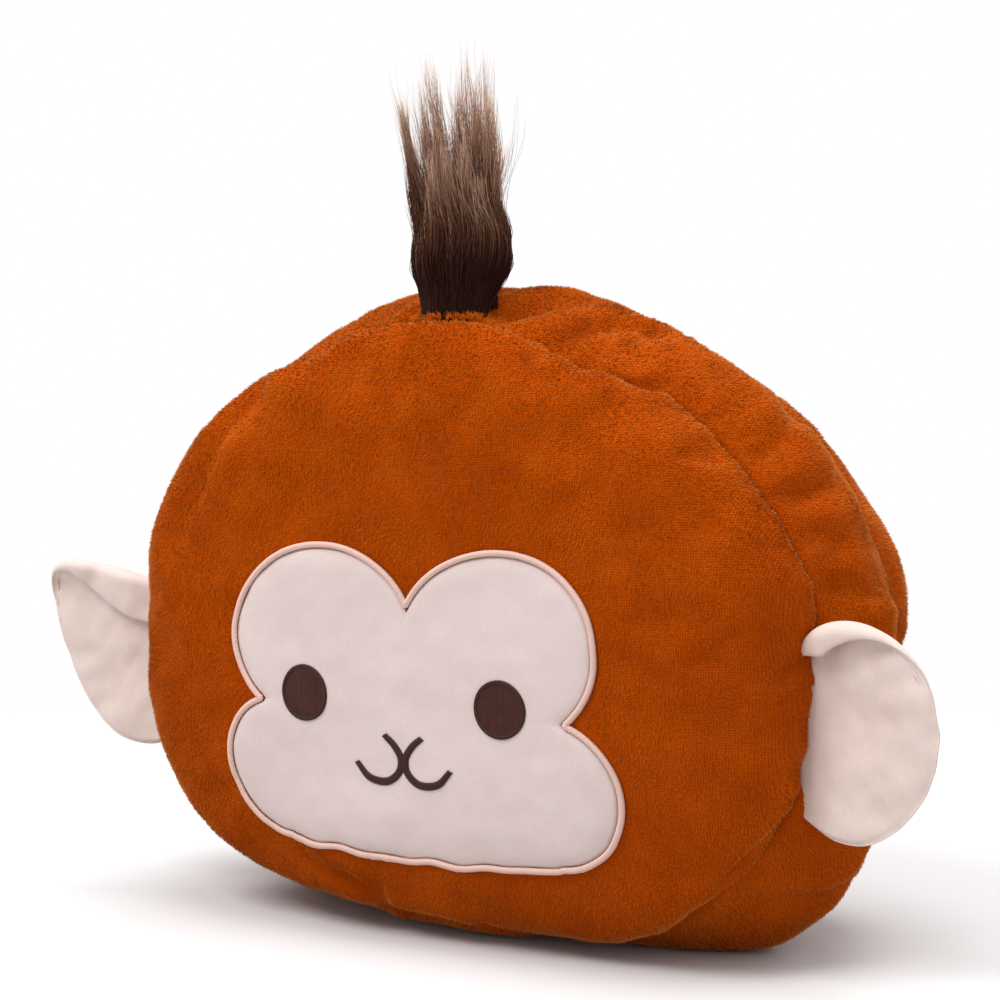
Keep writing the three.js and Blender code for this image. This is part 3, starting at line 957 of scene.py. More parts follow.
# Roll is the radius of the rim's curl. Flap is how far the curl hangs over, between two places on the
# way round the rim. The outline is (out, up) from the ear's root, from its foot round to its head.
RIGHT_EAR = {
    "side": 1, "roll": 5, "flap": 6, "flap_starts": 0.52, "flap_ends": 0.86,
    "outline": [(-12, -84), (0, -91), (14, -95.5), (31, -94), (49, -81), (60, -61), (62, -42),
                (56, -24), (43, -12), (26, -6), (10, -8), (-2, -18), (-7, -33)]}
LEFT_EAR = {
    "side": -1, "roll": 3.0, "flap": 17, "flap_starts": 0.46, "flap_ends": 3,
    "outline": [(-7, -80), (10, -86), (27, -84), (42, -74), (54, -57), (62, -38),
                (67, -16), (66, -2), (56, 4), (36, 1), (14, -4), (-7, -8)]}


def flap_share(ear, t):
    """How much of its full width the rolled flap has at a place round the rim."""
    rising = smoothstep(ear["flap_starts"], 0.9, t)
    return rising * (1 - smoothstep(ear["flap_ends"], ear["flap_ends"] + 0.14, t))


def ear_middle(ear, t, r, s):
    """Where the ear's middle layer lies, as (out, up, forward): t runs round the rim from its foot,
    r from the root to the rim, and s over the edge and down the rolled flap."""
    rim = through(ear["outline"], 24)
    place = np.concatenate([[0], np.cumsum(np.linalg.norm(np.diff(rim, axis=0), axis=1))])
    place /= place[-1]
    edge = np.column_stack([np.interp(t, place, rim[:, axis]) for axis in range(2)])
    ahead = np.column_stack([np.interp(t + 0.01, place, rim[:, axis]) for axis in range(2)])
    behind = np.column_stack([np.interp(t - 0.01, place, rim[:, axis]) for axis in range(2)])
    run = (ahead - behind) / np.maximum(np.linalg.norm(ahead - behind, axis=1), 1e-9)[:, None]
    outwards = np.column_stack([run[:, 1], -run[:, 0]])
    foot, head = np.array(ear["outline"][0]), np.array(ear["outline"][-1])
    root = foot + t[:, None] * (head - foot)
    flat = root + r[:, None] * (edge - root)
    share = flap_share(ear, t)
    bend = ear["roll"] * (0.55 + 0.45 * share)
    travel = s * (share * (math.pi * bend + ear["flap"] * share) + 0.8)
    turn = np.minimum(travel, math.pi * bend) / bend
    back = np.maximum(travel - math.pi * bend, 0)
    reach = bend * np.sin(turn) - back
    forward = bend * (1 - np.cos(turn)) + 0.06 * back
    flat = flat + outwards * reach[:, None]
    lift = 1 - np.exp(-np.maximum(flat[:, 0], 0) / 14)
    wrinkle = 0.9 * waves(flat, 34, 31 + ear["side"]) + 0.35 * waves(flat, 13, 33 + ear["side"])
    wrinkle += 1.3 * np.sin(58 * t) * share * smoothstep(0.55, 0.9, r) * (1 - smoothstep(0, 0.4, s))
    dish = 3.0 * ((flat[:, 1] + 45) / 45) ** 2
    return flat[:, 0], flat[:, 1], forward + lift * (wrinkle + dish - 2)


def ear_in_pillow(ear, out, up, forward):
    """Places of an ear in the pillow's frame, on its own side."""
    x = EAR_ROOT_X + out * math.cos(EAR_TILT) - forward * math.sin(EAR_TILT)
    y = -out * math.sin(EAR_TILT) - forward * math.cos(EAR_TILT)
    return np.column_stack([ear["side"] * x, y, up])


def ear_layer(ear, name, lift, thickness, thinnest):
    """One layer of an ear, raised off its middle by a share of the wadding plus a lift."""
    plain, rolled, around = 34, 22, 110
    piece, column, row = grid_piece(name, plain + rolled, around)
    t = row / (around - 1)
    r = np.clip(column / (plain - 1), 0, 1)
    s = np.clip((column - plain + 1) / rolled, 0, 1)
    set_points(piece, ear_in_pillow(ear, *ear_middle(ear, t, r, s)))
    faces_forwards(piece, (r > 0.3) & (r < 0.7))
    points, normals = get_points(piece), get_normals(piece)
    share = flap_share(ear, t)
    to_rim = np.where(share > 0.02, (1 - s) * 16 * share + (1 - r) * 60, (1 - r) * 60)
    to_rim = np.minimum(to_rim, np.minimum(t, 1 - t) * 400)
    puff = 1 - np.exp(-to_rim / 6)
    seam_in = 1 - np.exp(-to_rim / 1.2)
    raised = lift[0] * puff + lift[1] * (0.2 + 0.8 * seam_in)
    set_points(piece, points + normals * raised[:, None])
    add_uv(piece, points[:, 0], points[:, 2])
    group = piece.vertex_groups.new(name="wall")
    for index, weight in enumerate(puff if thinnest < 0.1 else seam_in):
        group.add([index], float(thinnest + (1 - thinnest) * weight), "REPLACE")
    thicken(piece, thickness, "wall")
    return smooth_shaded(piece)


def make_ear(ear, name):
    """An ear's three layers, from the front to the back."""
    front = ear_layer(ear, name + "_front_velboa", (WADDING / 2, EAR_SKIN), EAR_SKIN, 0.2)
    filling = ear_layer(ear, name + "_wadding", (WADDING / 2 - 0.1, 0), WADDING - 0.2, 0.05)
    back = ear_layer(ear, name + "_back_velboa", (-WADDING / 2, 0), EAR_SKIN, 0.2)
    return front, filling, back


# ---- tuft of long-pile fur ----

HAIR_ROOT_Z = 127
COLLAR_HALF_WIDTH = 18
COLLAR_HALF_DEPTH = 6
COLLAR_Y = -13
# Height, left edge, right edge, half depth and middle y of the tuft as it rises.
TUFT_SECTIONS = [
    (127, -16, 18.5, 4.5, -13), (136, -17.5, 20, 6.5, -11),
    (146, -20.5, 23.5, 8, -9), (157, -24.5, 28, 12.5, -7),
    (172, -25, 27, 12.5, -5), (189, -27, 20.5, 11.5, -4), (213, -31, 19, 12, -3),
    (237, -37, 17, 14, -2), (268, -45, 18, 17, -1)]


def tuft_lines(count, locks, shortest, longest, seed, gather, steps=13):
    """Strands that rise side by side, draw together into locks and part towards their tips."""
    draw = np.random.default_rng(seed)
    lock = draw.integers(0, locks, count)
    lock_across = draw.uniform(-1, 1, locks)
    lock_deep = draw.uniform(-1, 1, locks)
    lock_height = shortest + (longest - shortest) * draw.uniform(0, 1, locks) ** 1.3
    lock_bend = 1.3 * draw.normal(size=(2, locks))
    across = draw.uniform(-1, 1, count)
    deep = draw.uniform(-1, 1, count) * np.sqrt(1 - across ** 2)
    nearest = np.argmin(np.abs(across[:, None] - lock_across) + 0.35 * np.abs(deep[:, None] - lock_deep)
                        + draw.uniform(0, 0.22, (count, locks)), axis=1)
    lock = np.where(draw.uniform(size=count) < 0.93, nearest, lock)
    height = lock_height[lock] * draw.uniform(0.72, 1.02, count)
    share = np.linspace(0, 1, steps)
    rise = height[:, None] * share
    z = HAIR_ROOT_Z + rise
    table = through(TUFT_SECTIONS, 8)
    left, right, half_depth, middle_y = (np.interp(z, table[:, 0], table[:, c]) for c in (1, 2, 3, 4))
    drawn = gather * smoothstep(25, 100, rise)
    q = across[:, None] * (1 - drawn) + lock_across[lock][:, None] * drawn
    p = deep[:, None] * (1 - drawn) + lock_deep[lock][:, None] * drawn
    frizz = smoothstep(6, 90, rise)
    phase = draw.uniform(0, 2 * math.pi, (2, count))[:, :, None]
    pace = draw.uniform(0.05, 0.13, count)[:, None]
    stray = draw.normal(size=(2, count))[:, :, None]
    x = (left + right) / 2 + q * (right - left) / 2
    bend = 3.2 * smoothstep(30, 110, rise)
    wave = smoothstep(4, 30, rise) * np.sin(rise * 0.11 + 6 * lock_across[lock][:, None])
    x += bend * lock_bend[0][lock][:, None] + 1.3 * wave * stray[0]
    x += frizz * (0.9 * np.sin(pace * rise + phase[0]) + 1.6 * stray[0] * share)
    y = middle_y + p * half_depth
    y += bend * lock_bend[1][lock][:, None]
    y += frizz * (0.9 * np.sin(pace * rise + phase[1]) + 1.6 * stray[1] * share)
    tone = np.clip(0.5 + 0.3 * draw.normal(size=count) * 0.6 + 0.3 * (lock_across[lock] % 0.5 - 0.25), 0, 1)
    return np.stack([x, y, z], axis=2), tone


def hair(name, thickness, **shape):
    """One kind of the tuft's hair; its shape is what tuft_lines takes."""
    lines, tone = tuft_lines(**shape)
    steps = lines.shape[1]
    taper = np.linspace(1, 0.25, steps) ** 0.8
    radii = thickness * taper * rng.uniform(0.8, 1.2, (len(lines), 1))
    return strand_mesh(name, lines, radii, tone)


def tuft_collar(cover):
    """Longer plush round the foot of the tuft, pushed up ragged by the sewing."""
    count = 1500
    around = rng.uniform(0, 2 * math.pi, count)
    out = 1 + 0.2 * np.abs(rng.normal(size=count))
    x = COLLAR_HALF_WIDTH * np.cos(around) * out
    y = COLLAR_Y + COLLAR_HALF_DEPTH * np.sin(around) * out
    tree = Lay(cover).tree
    found = [tree.find_nearest(Vector((a, b, HAIR_ROOT_Z + 8))) for a, b in zip(x, y)]
    root = np.array([hit[0] for hit in found])
    slope = np.array([hit[1] for hit in found])
    inwards = np.column_stack([-np.cos(around), -np.sin(around), np.zeros(count)])
    way = slope + 0.15 * inwards + 0.25 * rng.normal(size=(count, 3))
    way /= np.linalg.norm(way, axis=1)[:, None]
    length = (rng.uniform(3.0, 6.0, count) / out ** 3)[:, None]
    lines = np.stack([root - 0.4 * slope, root + 0.55 * length * way,
                      root + length * (way + [0, -0.12, -0.1])], axis=1)
    radii = np.tile([0.3, 0.22, 0.0], (count, 1))
    return strand_mesh("tuft_collar_pile", lines, radii, rng.uniform(0.3, 0.9, count), slope)


# ---- seams ----

def seam_line(cover, y):
    """The bottom of a seam's groove round the pillow, as points in order."""
    ring = get_points(cover)[np.abs(sewn_y_of(cover) - y) < 1e-3]
    return ring[np.argsort(np.arctan2(ring[:, 2], ring[:, 0]))]


def stitches(name, line, normals, length=3.4, gap=0.7, closed=True, lift=0.35, radius=0.42):
    """Lock stitches along a seam, each one thread that comes up, runs on and goes down again."""
    ends = np.vstack([line, line[:1]]) if closed else line
    slopes = np.vstack([normals, normals[:1]]) if closed else normals
    run = np.concatenate([[0], np.cumsum(np.linalg.norm(np.diff(ends, axis=0), axis=1))])
    count = int(run[-1] / (length + gap))
    starts = np.arange(count) * run[-1] / count
    share = np.array([0.0, 0.12, 0.5, 0.88, 1.0])
    raised = np.array([-0.9, 0.6, 1.0, 0.6, -0.9])
    place = starts[:, None] + share * length
    points = np.stack([np.interp(place, run, ends[:, axis]) for axis in range(3)], axis=2)
    up = np.stack([np.interp(place, run, slopes[:, axis]) for axis in range(3)], axis=2)
    points = points + up * (lift * raised)[None, :, None]
    radii = np.tile([0.7, 1.0, 1.0, 1.0, 0.0], (count, 1)) * radius
    return strand_mesh(name, points, radii, rng.uniform(0, 1, count))


STUFFING_INSET = 9
STUFFING_CLEARANCE = 5.5
TUFT_HOLLOW = 17
TUFT_HOLLOW_WIDTH = 34


def stuffing_in(cover):
    """The fibre filling: the cover's inside, softly lumpy, and lower where the tuft's foot turns."""
    filling = copied(cover, "fibre_stuffing")
    from_tuft = np.linalg.norm(get_points(cover) - [0, COLLAR_Y, HAIR_ROOT_Z], axis=1)
    lumps = 1.5 * waves(get_points(cover), 24, 41)
    inset = STUFFING_INSET + lumps + TUFT_HOLLOW * np.exp(-(from_tuft / TUFT_HOLLOW_WIDTH) ** 2)
    set_points(filling, get_points(cover) - get_normals(cover) * inset[:, None])
    remesh = filling.modifiers.new("Even cells", "REMESH")
    remesh.mode = "VOXEL"
    remesh.voxel_size = 5
    apply_modifier(filling, remesh)
    tree = Lay(cover).tree
    held = []
    for point in get_points(filling):
        nearest, normal, _, _ = tree.find_nearest(Vector(point))
        deep = (nearest - Vector(point)).dot(normal)
        held.append(nearest - normal * STUFFING_CLEARANCE if deep < STUFFING_CLEARANCE else Vector(point))
    set_points(filling, np.array(held))
    return smooth_shaded(filling)


# ---- finishes ----

def finish_named(name, roughness, sheen=0.0, sheen_roughness=0.4, sheen_tint=(1, 1, 1, 1),
                 anisotropy=0.0, gloss=0.25):
    """A new finish with its plain values set, as (material, its nodes, its shader)."""
    material = bpy.data.materials.new(name)
    material.use_nodes = True
    shader = material.node_tree.nodes["Principled BSDF"]
    shader.inputs["Roughness"].default_value = roughness
    shader.inputs["Sheen Weight"].default_value = sheen
    shader.inputs["Sheen Roughness"].default_value = sheen_roughness
    shader.inputs["Sheen Tint"].default_value = sheen_tint
    shader.inputs["Anisotropic"].default_value = anisotropy
    shader.inputs["Specular IOR Level"].default_value = gloss
    return material, material.node_tree, shader


def add_node(tree, kind, inputs=None, **settings):
    """Adds a node, with inputs that are values or other nodes' outputs."""
    node = tree.nodes.new(kind)
    for key, value in settings.items():
        setattr(node, key, value)
    for key, value in (inputs or {}).items():
        if isinstance(value, bpy.types.NodeSocket):
            tree.links.new(value, node.inputs[key])
        else:
            node.inputs[key].default_value = value
    return node


def mixed(tree, factor, a, b, blend="MIX"):
    """Two colours or values mixed by a factor."""
    node = add_node(tree, "ShaderNodeMix", data_type="RGBA", blend_type=blend)
    for label, value in (("Factor", factor), ("A", a), ("B", b)):
        target = [socket for socket in node.inputs if socket.name == label and socket.enabled][0]
        if isinstance(value, bpy.types.NodeSocket):
            tree.links.new(value, target)
        else:
            target.default_value = value
    return [socket for socket in node.outputs if socket.enabled][0]


def ramp(tree, value, stops):
    """A ramp of greys or colours over a value: stops are (place, colour)."""
    node = add_node(tree, "ShaderNodeValToRGB", {"Fac": value})
    elements = node.color_ramp.elements
    while len(elements) < len(stops):
        elements.new(0.5)
    for element, (place, colour) in zip(elements, stops):
        element.position = place
        element.color = colour if hasattr(colour, "__len__") else (colour, colour, colour, 1)
    return node.outputs["Color"]


def rgb(red, green, blue):
    """A colour given in 0 to 255 as it is seen, made linear for the shader."""
    def linear(value):
        value /= 255
        return value / 12.92 if value <= 0.04045 else ((value + 0.055) / 1.055) ** 2.4
    return (linear(red), linear(green), linear(blue), 1)


def new_group(name, inputs, outputs):
    """An empty node group with its sockets, its input node and its output node."""
    group = bpy.data.node_groups.new(name, "ShaderNodeTree")
    for label, kind, value in inputs:
        socket = group.interface.new_socket(name=label, in_out="INPUT", socket_type="NodeSocket" + kind)
        socket.default_value = value
    for label, kind in outputs:
        group.interface.new_socket(name=label, in_out="OUTPUT", socket_type="NodeSocket" + kind)
    return group, add_node(group, "NodeGroupInput"), add_node(group, "NodeGroupOutput")


def brushed_group():
    """Patches of painted sheen and shade where the pile is brushed one way and the other: a mask, and a
    finer fleck within them.
    """
    group, given, made = new_group(
        "Brushed pile sheen and flecks", [("Patch size", "Float", 30.0), ("Fleck size", "Float", 3.0)],
        [("Painted sheen patches", "Float"), ("Flecks", "Float")])
    place = add_node(group, "ShaderNodeTexCoord").outputs["Object"]
    for size, out, detail in (("Patch size", "Painted sheen patches", 4.0), ("Fleck size", "Flecks", 3.0)):
        scale = add_node(group, "ShaderNodeMath", {0: 1 / MM, 1: given.outputs[size]}, operation="DIVIDE")
        noise = add_node(group, "ShaderNodeTexNoise",
                         {"Vector": place, "Scale": scale.outputs[0], "Detail": detail, "Roughness": 0.55})
        spread = add_node(group, "ShaderNodeMapRange",
                          {"Value": noise.outputs["Fac"], "From Min": 0.3, "From Max": 0.7})
        group.links.new(spread.outputs["Result"], made.inputs[out])
    return group


def knit_group():
    """The rows and wales of the knitted ground, as a height."""
    group, given, made = new_group("Knit rows", [("Pitch", "Float", 1.1)], [("Height", "Float")])
    place = add_node(group, "ShaderNodeTexCoord").outputs["Object"]
    parts = add_node(group, "ShaderNodeSeparateXYZ", {0: place})
    waves_found = []
    for axis in ("X", "Z"):
        turns = add_node(group, "ShaderNodeMath", {0: parts.outputs[axis], 1: 2 * math.pi / MM},
                         operation="MULTIPLY")
        pitched = add_node(group, "ShaderNodeMath", {0: turns.outputs[0], 1: given.outputs["Pitch"]},
                           operation="DIVIDE")
        waves_found.append(add_node(group, "ShaderNodeMath", {0: pitched.outputs[0]}, operation="SINE"))
    total = add_node(group, "ShaderNodeMath", {0: waves_found[0].outputs[0], 1: waves_found[1].outputs[0]},
                     operation="ADD")
    level = add_node(group, "ShaderNodeMapRange",
                     {"Value": total.outputs[0], "From Min": -2, "From Max": 2})
    group.links.new(level.outputs["Result"], made.inputs["Height"])
    return group


def nap_group():
    """A very short, soft nap: fine fibres as a height, and the soft clouding of its shade."""
    group, given, made = new_group(
        "Short nap", [("Fibre size", "Float", 0.5), ("Cloud size", "Float", 14.0)],
        [("Height", "Float"), ("Clouds", "Float")])
    place = add_node(group, "ShaderNodeTexCoord").outputs["Object"]
    stretched = add_node(group, "ShaderNodeMapping", {"Vector": place, "Scale": (1.0, 1.0, 0.55)})
    fibres = stretched.outputs[0]
    for size, out, source in (("Fibre size", "Height", fibres), ("Cloud size", "Clouds", place)):
        scale = add_node(group, "ShaderNodeMath", {0: 1 / MM, 1: given.outputs[size]}, operation="DIVIDE")
        noise = add_node(group, "ShaderNodeTexNoise",
                         {"Vector": source, "Scale": scale.outputs[0], "Detail": 3.0, "Roughness": 0.6})
        group.links.new(noise.outputs["Fac"], made.inputs[out])
    return group


def use_group(tree, group, inputs):
    """Places a node group in a material with the material's own values."""
    node = add_node(tree, "ShaderNodeGroup")
    node.node_tree = group
    for key, value in inputs.items():
        node.inputs[key].default_value = value
    return node


def attribute(tree, name):
    """A number stored on the piece's vertices."""
    return add_node(tree, "ShaderNodeAttribute", attribute_name=name).outputs["Fac"]


def bumped(tree, shader, height, strength, distance):
    """Raises a finish by a height, to a distance in millimetres."""
    bump = add_node(tree, "ShaderNodeBump",
                    {"Height": height, "Strength": strength, "Distance": distance * MM})
    tree.links.new(bump.outputs["Normal"], shader.inputs["Normal"])


BRUSHED = brushed_group()
KNIT = knit_group()
NAP = nap_group()

RUST_DEEP = rgb(188, 75, 2)
RUST_MID = rgb(222, 104, 4)
RUST_LIGHT = rgb(230, 128, 42)
# Root colour: painted shade at the foot of the pile.
RUST_ROOT_SHADE = rgb(194, 76, 2)


def rust_pile():
    """The plush's short pile: painted sheen and shade in brushed patches, lighter strands that are partly
    random and partly painted sheen, and roots painted darker as painted shade.
    """
    material, tree, shader = finish_named("rust_plush_pile", 0.8, sheen=0.72, sheen_roughness=0.34,
                                          sheen_tint=rgb(255, 170, 98), gloss=0.04)
    brushed = use_group(tree, BRUSHED, {"Patch size": 44.0, "Fleck size": 2.6})
    tone = attribute(tree, "tone")
    # Painted sheen and shade: patches of brushed nap painted deeper and lighter.
    shade = mixed(tree, brushed.outputs["Painted sheen patches"], RUST_DEEP, RUST_MID)
    # Lighter strands by tone: partly random, partly painted sheen where the nap is brushed flat.
    shade = mixed(tree, ramp(tree, tone, [(0.3, 0.0), (1.0, 0.4)]), shade, RUST_LIGHT)
    flecks = ramp(tree, brushed.outputs["Flecks"], [(0.0, 0.92), (1.0, 1.04)])
    shade = mixed(tree, 1.0, shade, flecks, blend="MULTIPLY")
    # Painted shade at the foot of the pile: roots painted darker than the tips.
    to_tip = ramp(tree, attribute(tree, "along"), [(0.0, 0.0), (0.75, 1.0)])
    tips = mixed(tree, to_tip, RUST_ROOT_SHADE, shade)
    tree.links.new(tips, shader.inputs["Base Color"])
    rough = ramp(tree, tone, [(0.0, 0.9), (1.0, 0.6)])
    tree.links.new(rough, shader.inputs["Roughness"])
    return material


def rust_ground():
    """The plush's knitted ground, seen between its strands."""
    material, tree, shader = finish_named("rust_plush_ground", 0.95, gloss=0.04)
    knit = use_group(tree, KNIT, {"Pitch": 1.1})
    brushed = use_group(tree, BRUSHED, {"Patch size": 26.0, "Fleck size": 2.0})
    # Painted sheen and shade: the same brushed patches, painted deeper and lighter on the ground.
    shade = mixed(tree, brushed.outputs["Painted sheen patches"], rgb(178, 70, 2), rgb(206, 88, 2))
    shade = mixed(tree, knit.outputs["Height"], shade, rgb(152, 56, 2))
    tree.links.new(shade, shader.inputs["Base Color"])
    bumped(tree, shader, knit.outputs["Height"], 0.6, 0.4)
    return material


def velboa(name, light, shaded, fibre):
    """Velboa: a very short even nap over a softly clouded shade."""
    material, tree, shader = finish_named(name, 0.85, sheen=0.45, sheen_roughness=0.45,
                                          sheen_tint=rgb(255, 240, 235))
    nap = use_group(tree, NAP, {"Fibre size": fibre, "Cloud size": 16.0})
    clouds = ramp(tree, nap.outputs["Clouds"], [(0.35, 0.0), (0.65, 1.0)])
    shade = mixed(tree, clouds, shaded, light)
    fibres = ramp(tree, nap.outputs["Height"], [(0.3, 0.93), (0.7, 1.03)])
    shade = mixed(tree, 1.0, shade, fibres, blend="MULTIPLY")
    tree.links.new(shade, shader.inputs["Base Color"])
    bumped(tree, shader, nap.outputs["Height"], 0.45, 0.35)
    return material


def thread(name, light, dark):
    """Satin stitching: threads lying side by side along the stitched line's own map, each rib painted light
    on its crest and dark between threads, as painted highlight and shade.
    """
    material, tree, shader = finish_named(name, 0.4, sheen=0.15, anisotropy=0.4)
    laid = add_node(tree, "ShaderNodeUVMap", uv_map="laid")
    parts = add_node(tree, "ShaderNodeSeparateXYZ", {0: laid.outputs["UV"]})
    turns = add_node(tree, "ShaderNodeMath", {0: parts.outputs["X"], 1: 4 * math.pi / SATIN_PITCH},
                     operation="MULTIPLY")
    strand = add_node(tree, "ShaderNodeMath", {0: turns.outputs[0]}, operation="SINE")
    ribs = add_node(tree, "ShaderNodeMapRange", {"Value": strand.outputs[0], "From Min": -1, "From Max": 1})
    noise = add_node(tree, "ShaderNodeTexNoise",
                     {"Vector": laid.outputs["UV"], "Scale": 0.9, "Detail": 2.0})
    # Painted highlight on each thread's crest and painted shade between threads.
    shade = mixed(tree, ribs.outputs["Result"], dark, light)
    uneven = ramp(tree, noise.outputs["Fac"], [(0.3, 0.85), (0.7, 1.05)])
    shade = mixed(tree, 1.0, shade, uneven, blend="MULTIPLY")
    tree.links.new(shade, shader.inputs["Base Color"])
    bumped(tree, shader, ribs.outputs["Result"], 0.5, 0.12)
    return material


def eye_thread(name, light, dark):
    """Fill stitching: each thread has its own tone, and the light moves over them in bands."""
    material, tree, shader = finish_named(name, 0.42, sheen=0.2, anisotropy=0.3)
    shade = mixed(tree, attribute(tree, "tone"), dark, light)
    nap = use_group(tree, NAP, {"Fibre size": 0.35, "Cloud size": 5.0})
    bands = ramp(tree, nap.outputs["Clouds"], [(0.3, 0.8), (0.7, 1.1)])
    shade = mixed(tree, 1.0, shade, bands, blend="MULTIPLY")
    tree.links.new(shade, shader.inputs["Base Color"])
    bumped(tree, shader, nap.outputs["Height"], 0.4, 0.1)
    return material


def fur():
    """Long hair, near black at its foot and pale brown at its tips."""
    material, tree, shader = finish_named("long_pile_fur", 0.5, sheen=0.04, anisotropy=0.3, gloss=0.11)
    along = attribute(tree, "along")
    brown = ramp(tree, along, [(0.0, rgb(40, 11, 4)), (0.45, rgb(54, 23, 10)), (0.72, rgb(112, 68, 43)),
                               (1.0, rgb(212, 172, 146))])
    tone = ramp(tree, attribute(tree, "tone"), [(0.0, 0.6), (1.0, 1.3)])
    tree.links.new(mixed(tree, 1.0, brown, tone, blend="MULTIPLY"), shader.inputs["Base Color"])
    tree.links.new(ramp(tree, along, [(0.0, 0.6), (1.0, 0.42)]), shader.inputs["Roughness"])
    return material


def plain_fibre(name, light, dark, size, roughness=0.95, sheen=0.3):
    """Threads, wadding and backing cloth: a fine fibrous surface of two close shades."""
    material, tree, shader = finish_named(name, roughness, sheen=sheen, gloss=0.1)
    nap = use_group(tree, NAP, {"Fibre size": size, "Cloud size": size * 12})
    shade = mixed(tree, nap.outputs["Clouds"], dark, light)
    tree.links.new(shade, shader.inputs["Base Color"])
    bumped(tree, shader, nap.outputs["Height"], 0.6, size)
    return material


# ---- making everything ----

cover = filled_cover()
front_cloth, gusset_cloth, back_cloth = cut_panels(cover)


def beside_patch(at):
    """Where the front's pile grows: clear of the patch and its border."""
    return outside_patch(at, 2.6)


def above_floor(at):
    """Where pile isn't pressed flat under the pillow."""
    return at[:, 2] > FLOOR + 0.4


pile = {
    front_cloth: grow_pile(front_cloth, ["front_pile_low", "front_pile_high"], beside_patch),
    gusset_cloth: grow_pile(gusset_cloth, ["gusset_pile_low", "gusset_pile_high"], above_floor),
    back_cloth: grow_pile(back_cloth, ["back_pile_low", "back_pile_middle", "back_pile_high"],
                          above_floor, BACK_PILE_SPACING),
}
on_cover = Lay(front_cloth)
patch, patch_size, patch_area = pale_patch(on_cover)
border = satin_band("face_border_satin", on_cover, border_line(), BORDER_WIDTH,
                    lift=0.9, height=1.9, closed=True)
on_patch = Lay(patch)
eyes, rims, mouth = [], [], []
eye_radius = EYE_HALF_WIDTH - EYE_RIM_WIDTH / 2
for side, name in ((-1, "left"), (1, "right")):
    eyes.append(stitched_disc(name + "_eye_threads", on_patch, side * EYE_X, EYE_Z, eye_radius, lift=0.25))
    rims.append(satin_band(name + "_eye_satin_rim", on_patch, ring_of(side * EYE_X, EYE_Z, eye_radius),
                           EYE_RIM_WIDTH, lift=0.1, height=0.95, closed=True))
    stroke = through([(side * x + MOUTH_SHIFT, z) for x, z in MOUTH_POINTS], 12)
    mouth.append(satin_band("mouth_" + name + "_satin", on_patch, stroke, MOUTH_WIDTHS,
                            lift=0.1, height=1.0, slant=-0.3 * side))
left_ear = make_ear(LEFT_EAR, "left_ear")
right_ear = make_ear(RIGHT_EAR, "right_ear")
tuft = [
    hair("tuft_underhair", 0.27, count=3000, locks=42, shortest=62, longest=102, seed=51, gather=0.75),
    hair("tuft_long_hair", 0.18, count=2600, locks=38, shortest=84, longest=135, seed=52, gather=0.96),
    hair("tuft_flyaway_hair", 0.11, count=300, locks=60, shortest=94, longest=146, seed=53, gather=0.6),
]
collar = tuft_collar(cover)
cover_tree = Lay(cover).tree


def slopes_at(line):
    """The cover's slope at each point of a line that lies on it."""
    return np.array([cover_tree.find_nearest(Vector(point))[1] for point in line])


def laid_like(node):
    """The line that a stitched seam's solid takes, laid on the filled cover."""
    corners = in_pillow(np.array([node.matrix_world @ vertex.co for vertex in node.data.vertices]))
    axis = int(np.argmax(np.ptp(corners, axis=0)))
    ends = [corners[corners[:, axis] < corners[:, axis].min() + 2].mean(axis=0),
            corners[corners[:, axis] > corners[:, axis].max() - 2].mean(axis=0)]
    spans = np.linspace(ends[0], ends[1], 60)
    return np.array([cover_tree.find_nearest(Vector(point))[0] for point in spans])


threads = []
for name, y in (("front_seam_stitches", 0), ("back_seam_stitches", GUSSET_WIDTH)):
    line = seam_line(cover, y)
    threads.append(stitches(name, line, slopes_at(line), lift=0.1))
for name, node in (("gusset_join_stitches", "gusset_join_thread"),
                   ("closing_seam_stitches", "closing_seam_thread")):
    line = laid_like(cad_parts[node])
    threads.append(stitches(name, line, slopes_at(line), closed=False))
filling = stuffing_in(cover)
bpy.data.objects.remove(cover)

for piece in [front_cloth, gusset_cloth, back_cloth]:
    thicken(piece, CLOTH)
for piece in [front_cloth, gusset_cloth, back_cloth, patch, border, filling,
              *eyes, *rims, *mouth, *left_ear, *right_ear]:
    into_row(piece)


def paint(piece, material):
    """Gives a piece its finish."""
    piece.data.materials.clear()
    piece.data.materials.append(material)


PILE = rust_pile()
GROUND = rust_ground()
for cloth, strands in pile.items():
    paint(cloth, GROUND)
    for piece in strands:
        paint(piece, PILE)
VELBOA = velboa("pale_velboa", rgb(229, 210, 206), rgb(226, 206, 202), 0.5)
EAR_VELBOA = velboa("ear_velboa", rgb(237, 218, 210), rgb(232, 211, 201), 0.45)
WADDING_FIBRE = plain_fibre("fibre_filling", rgb(240, 238, 232), rgb(216, 213, 206), 0.8)
# The seam thread is rust, painted darker than the cloth as painted shade of the seam's groove.
THREAD_RUST = plain_fibre("rust_thread", rgb(92, 32, 2), rgb(64, 20, 2), 0.2, 0.8, 0.0)
BACKING = plain_fibre("fur_backing", rgb(34, 16, 10), rgb(24, 11, 7), 0.4, 0.95, 0.0)
PINK = thread("pink_satin_stitch", rgb(250, 220, 208), rgb(232, 184, 170))
BROWN = eye_thread("brown_embroidery", rgb(88, 46, 34), rgb(68, 33, 24))
DARK = thread("dark_satin_stitch", rgb(72, 36, 28), rgb(44, 20, 14))
FUR = fur()
paint(patch, VELBOA)
paint(border, PINK)
for piece in eyes:
    paint(piece, BROWN)
for piece in rims + mouth:
    paint(piece, DARK)
for front, wadding, back in (left_ear, right_ear):
    paint(front, EAR_VELBOA)
    paint(back, EAR_VELBOA)
    paint(wadding, WADDING_FIBRE)
for piece in tuft:
    paint(piece, FUR)
for piece in threads:
    paint(piece, THREAD_RUST)
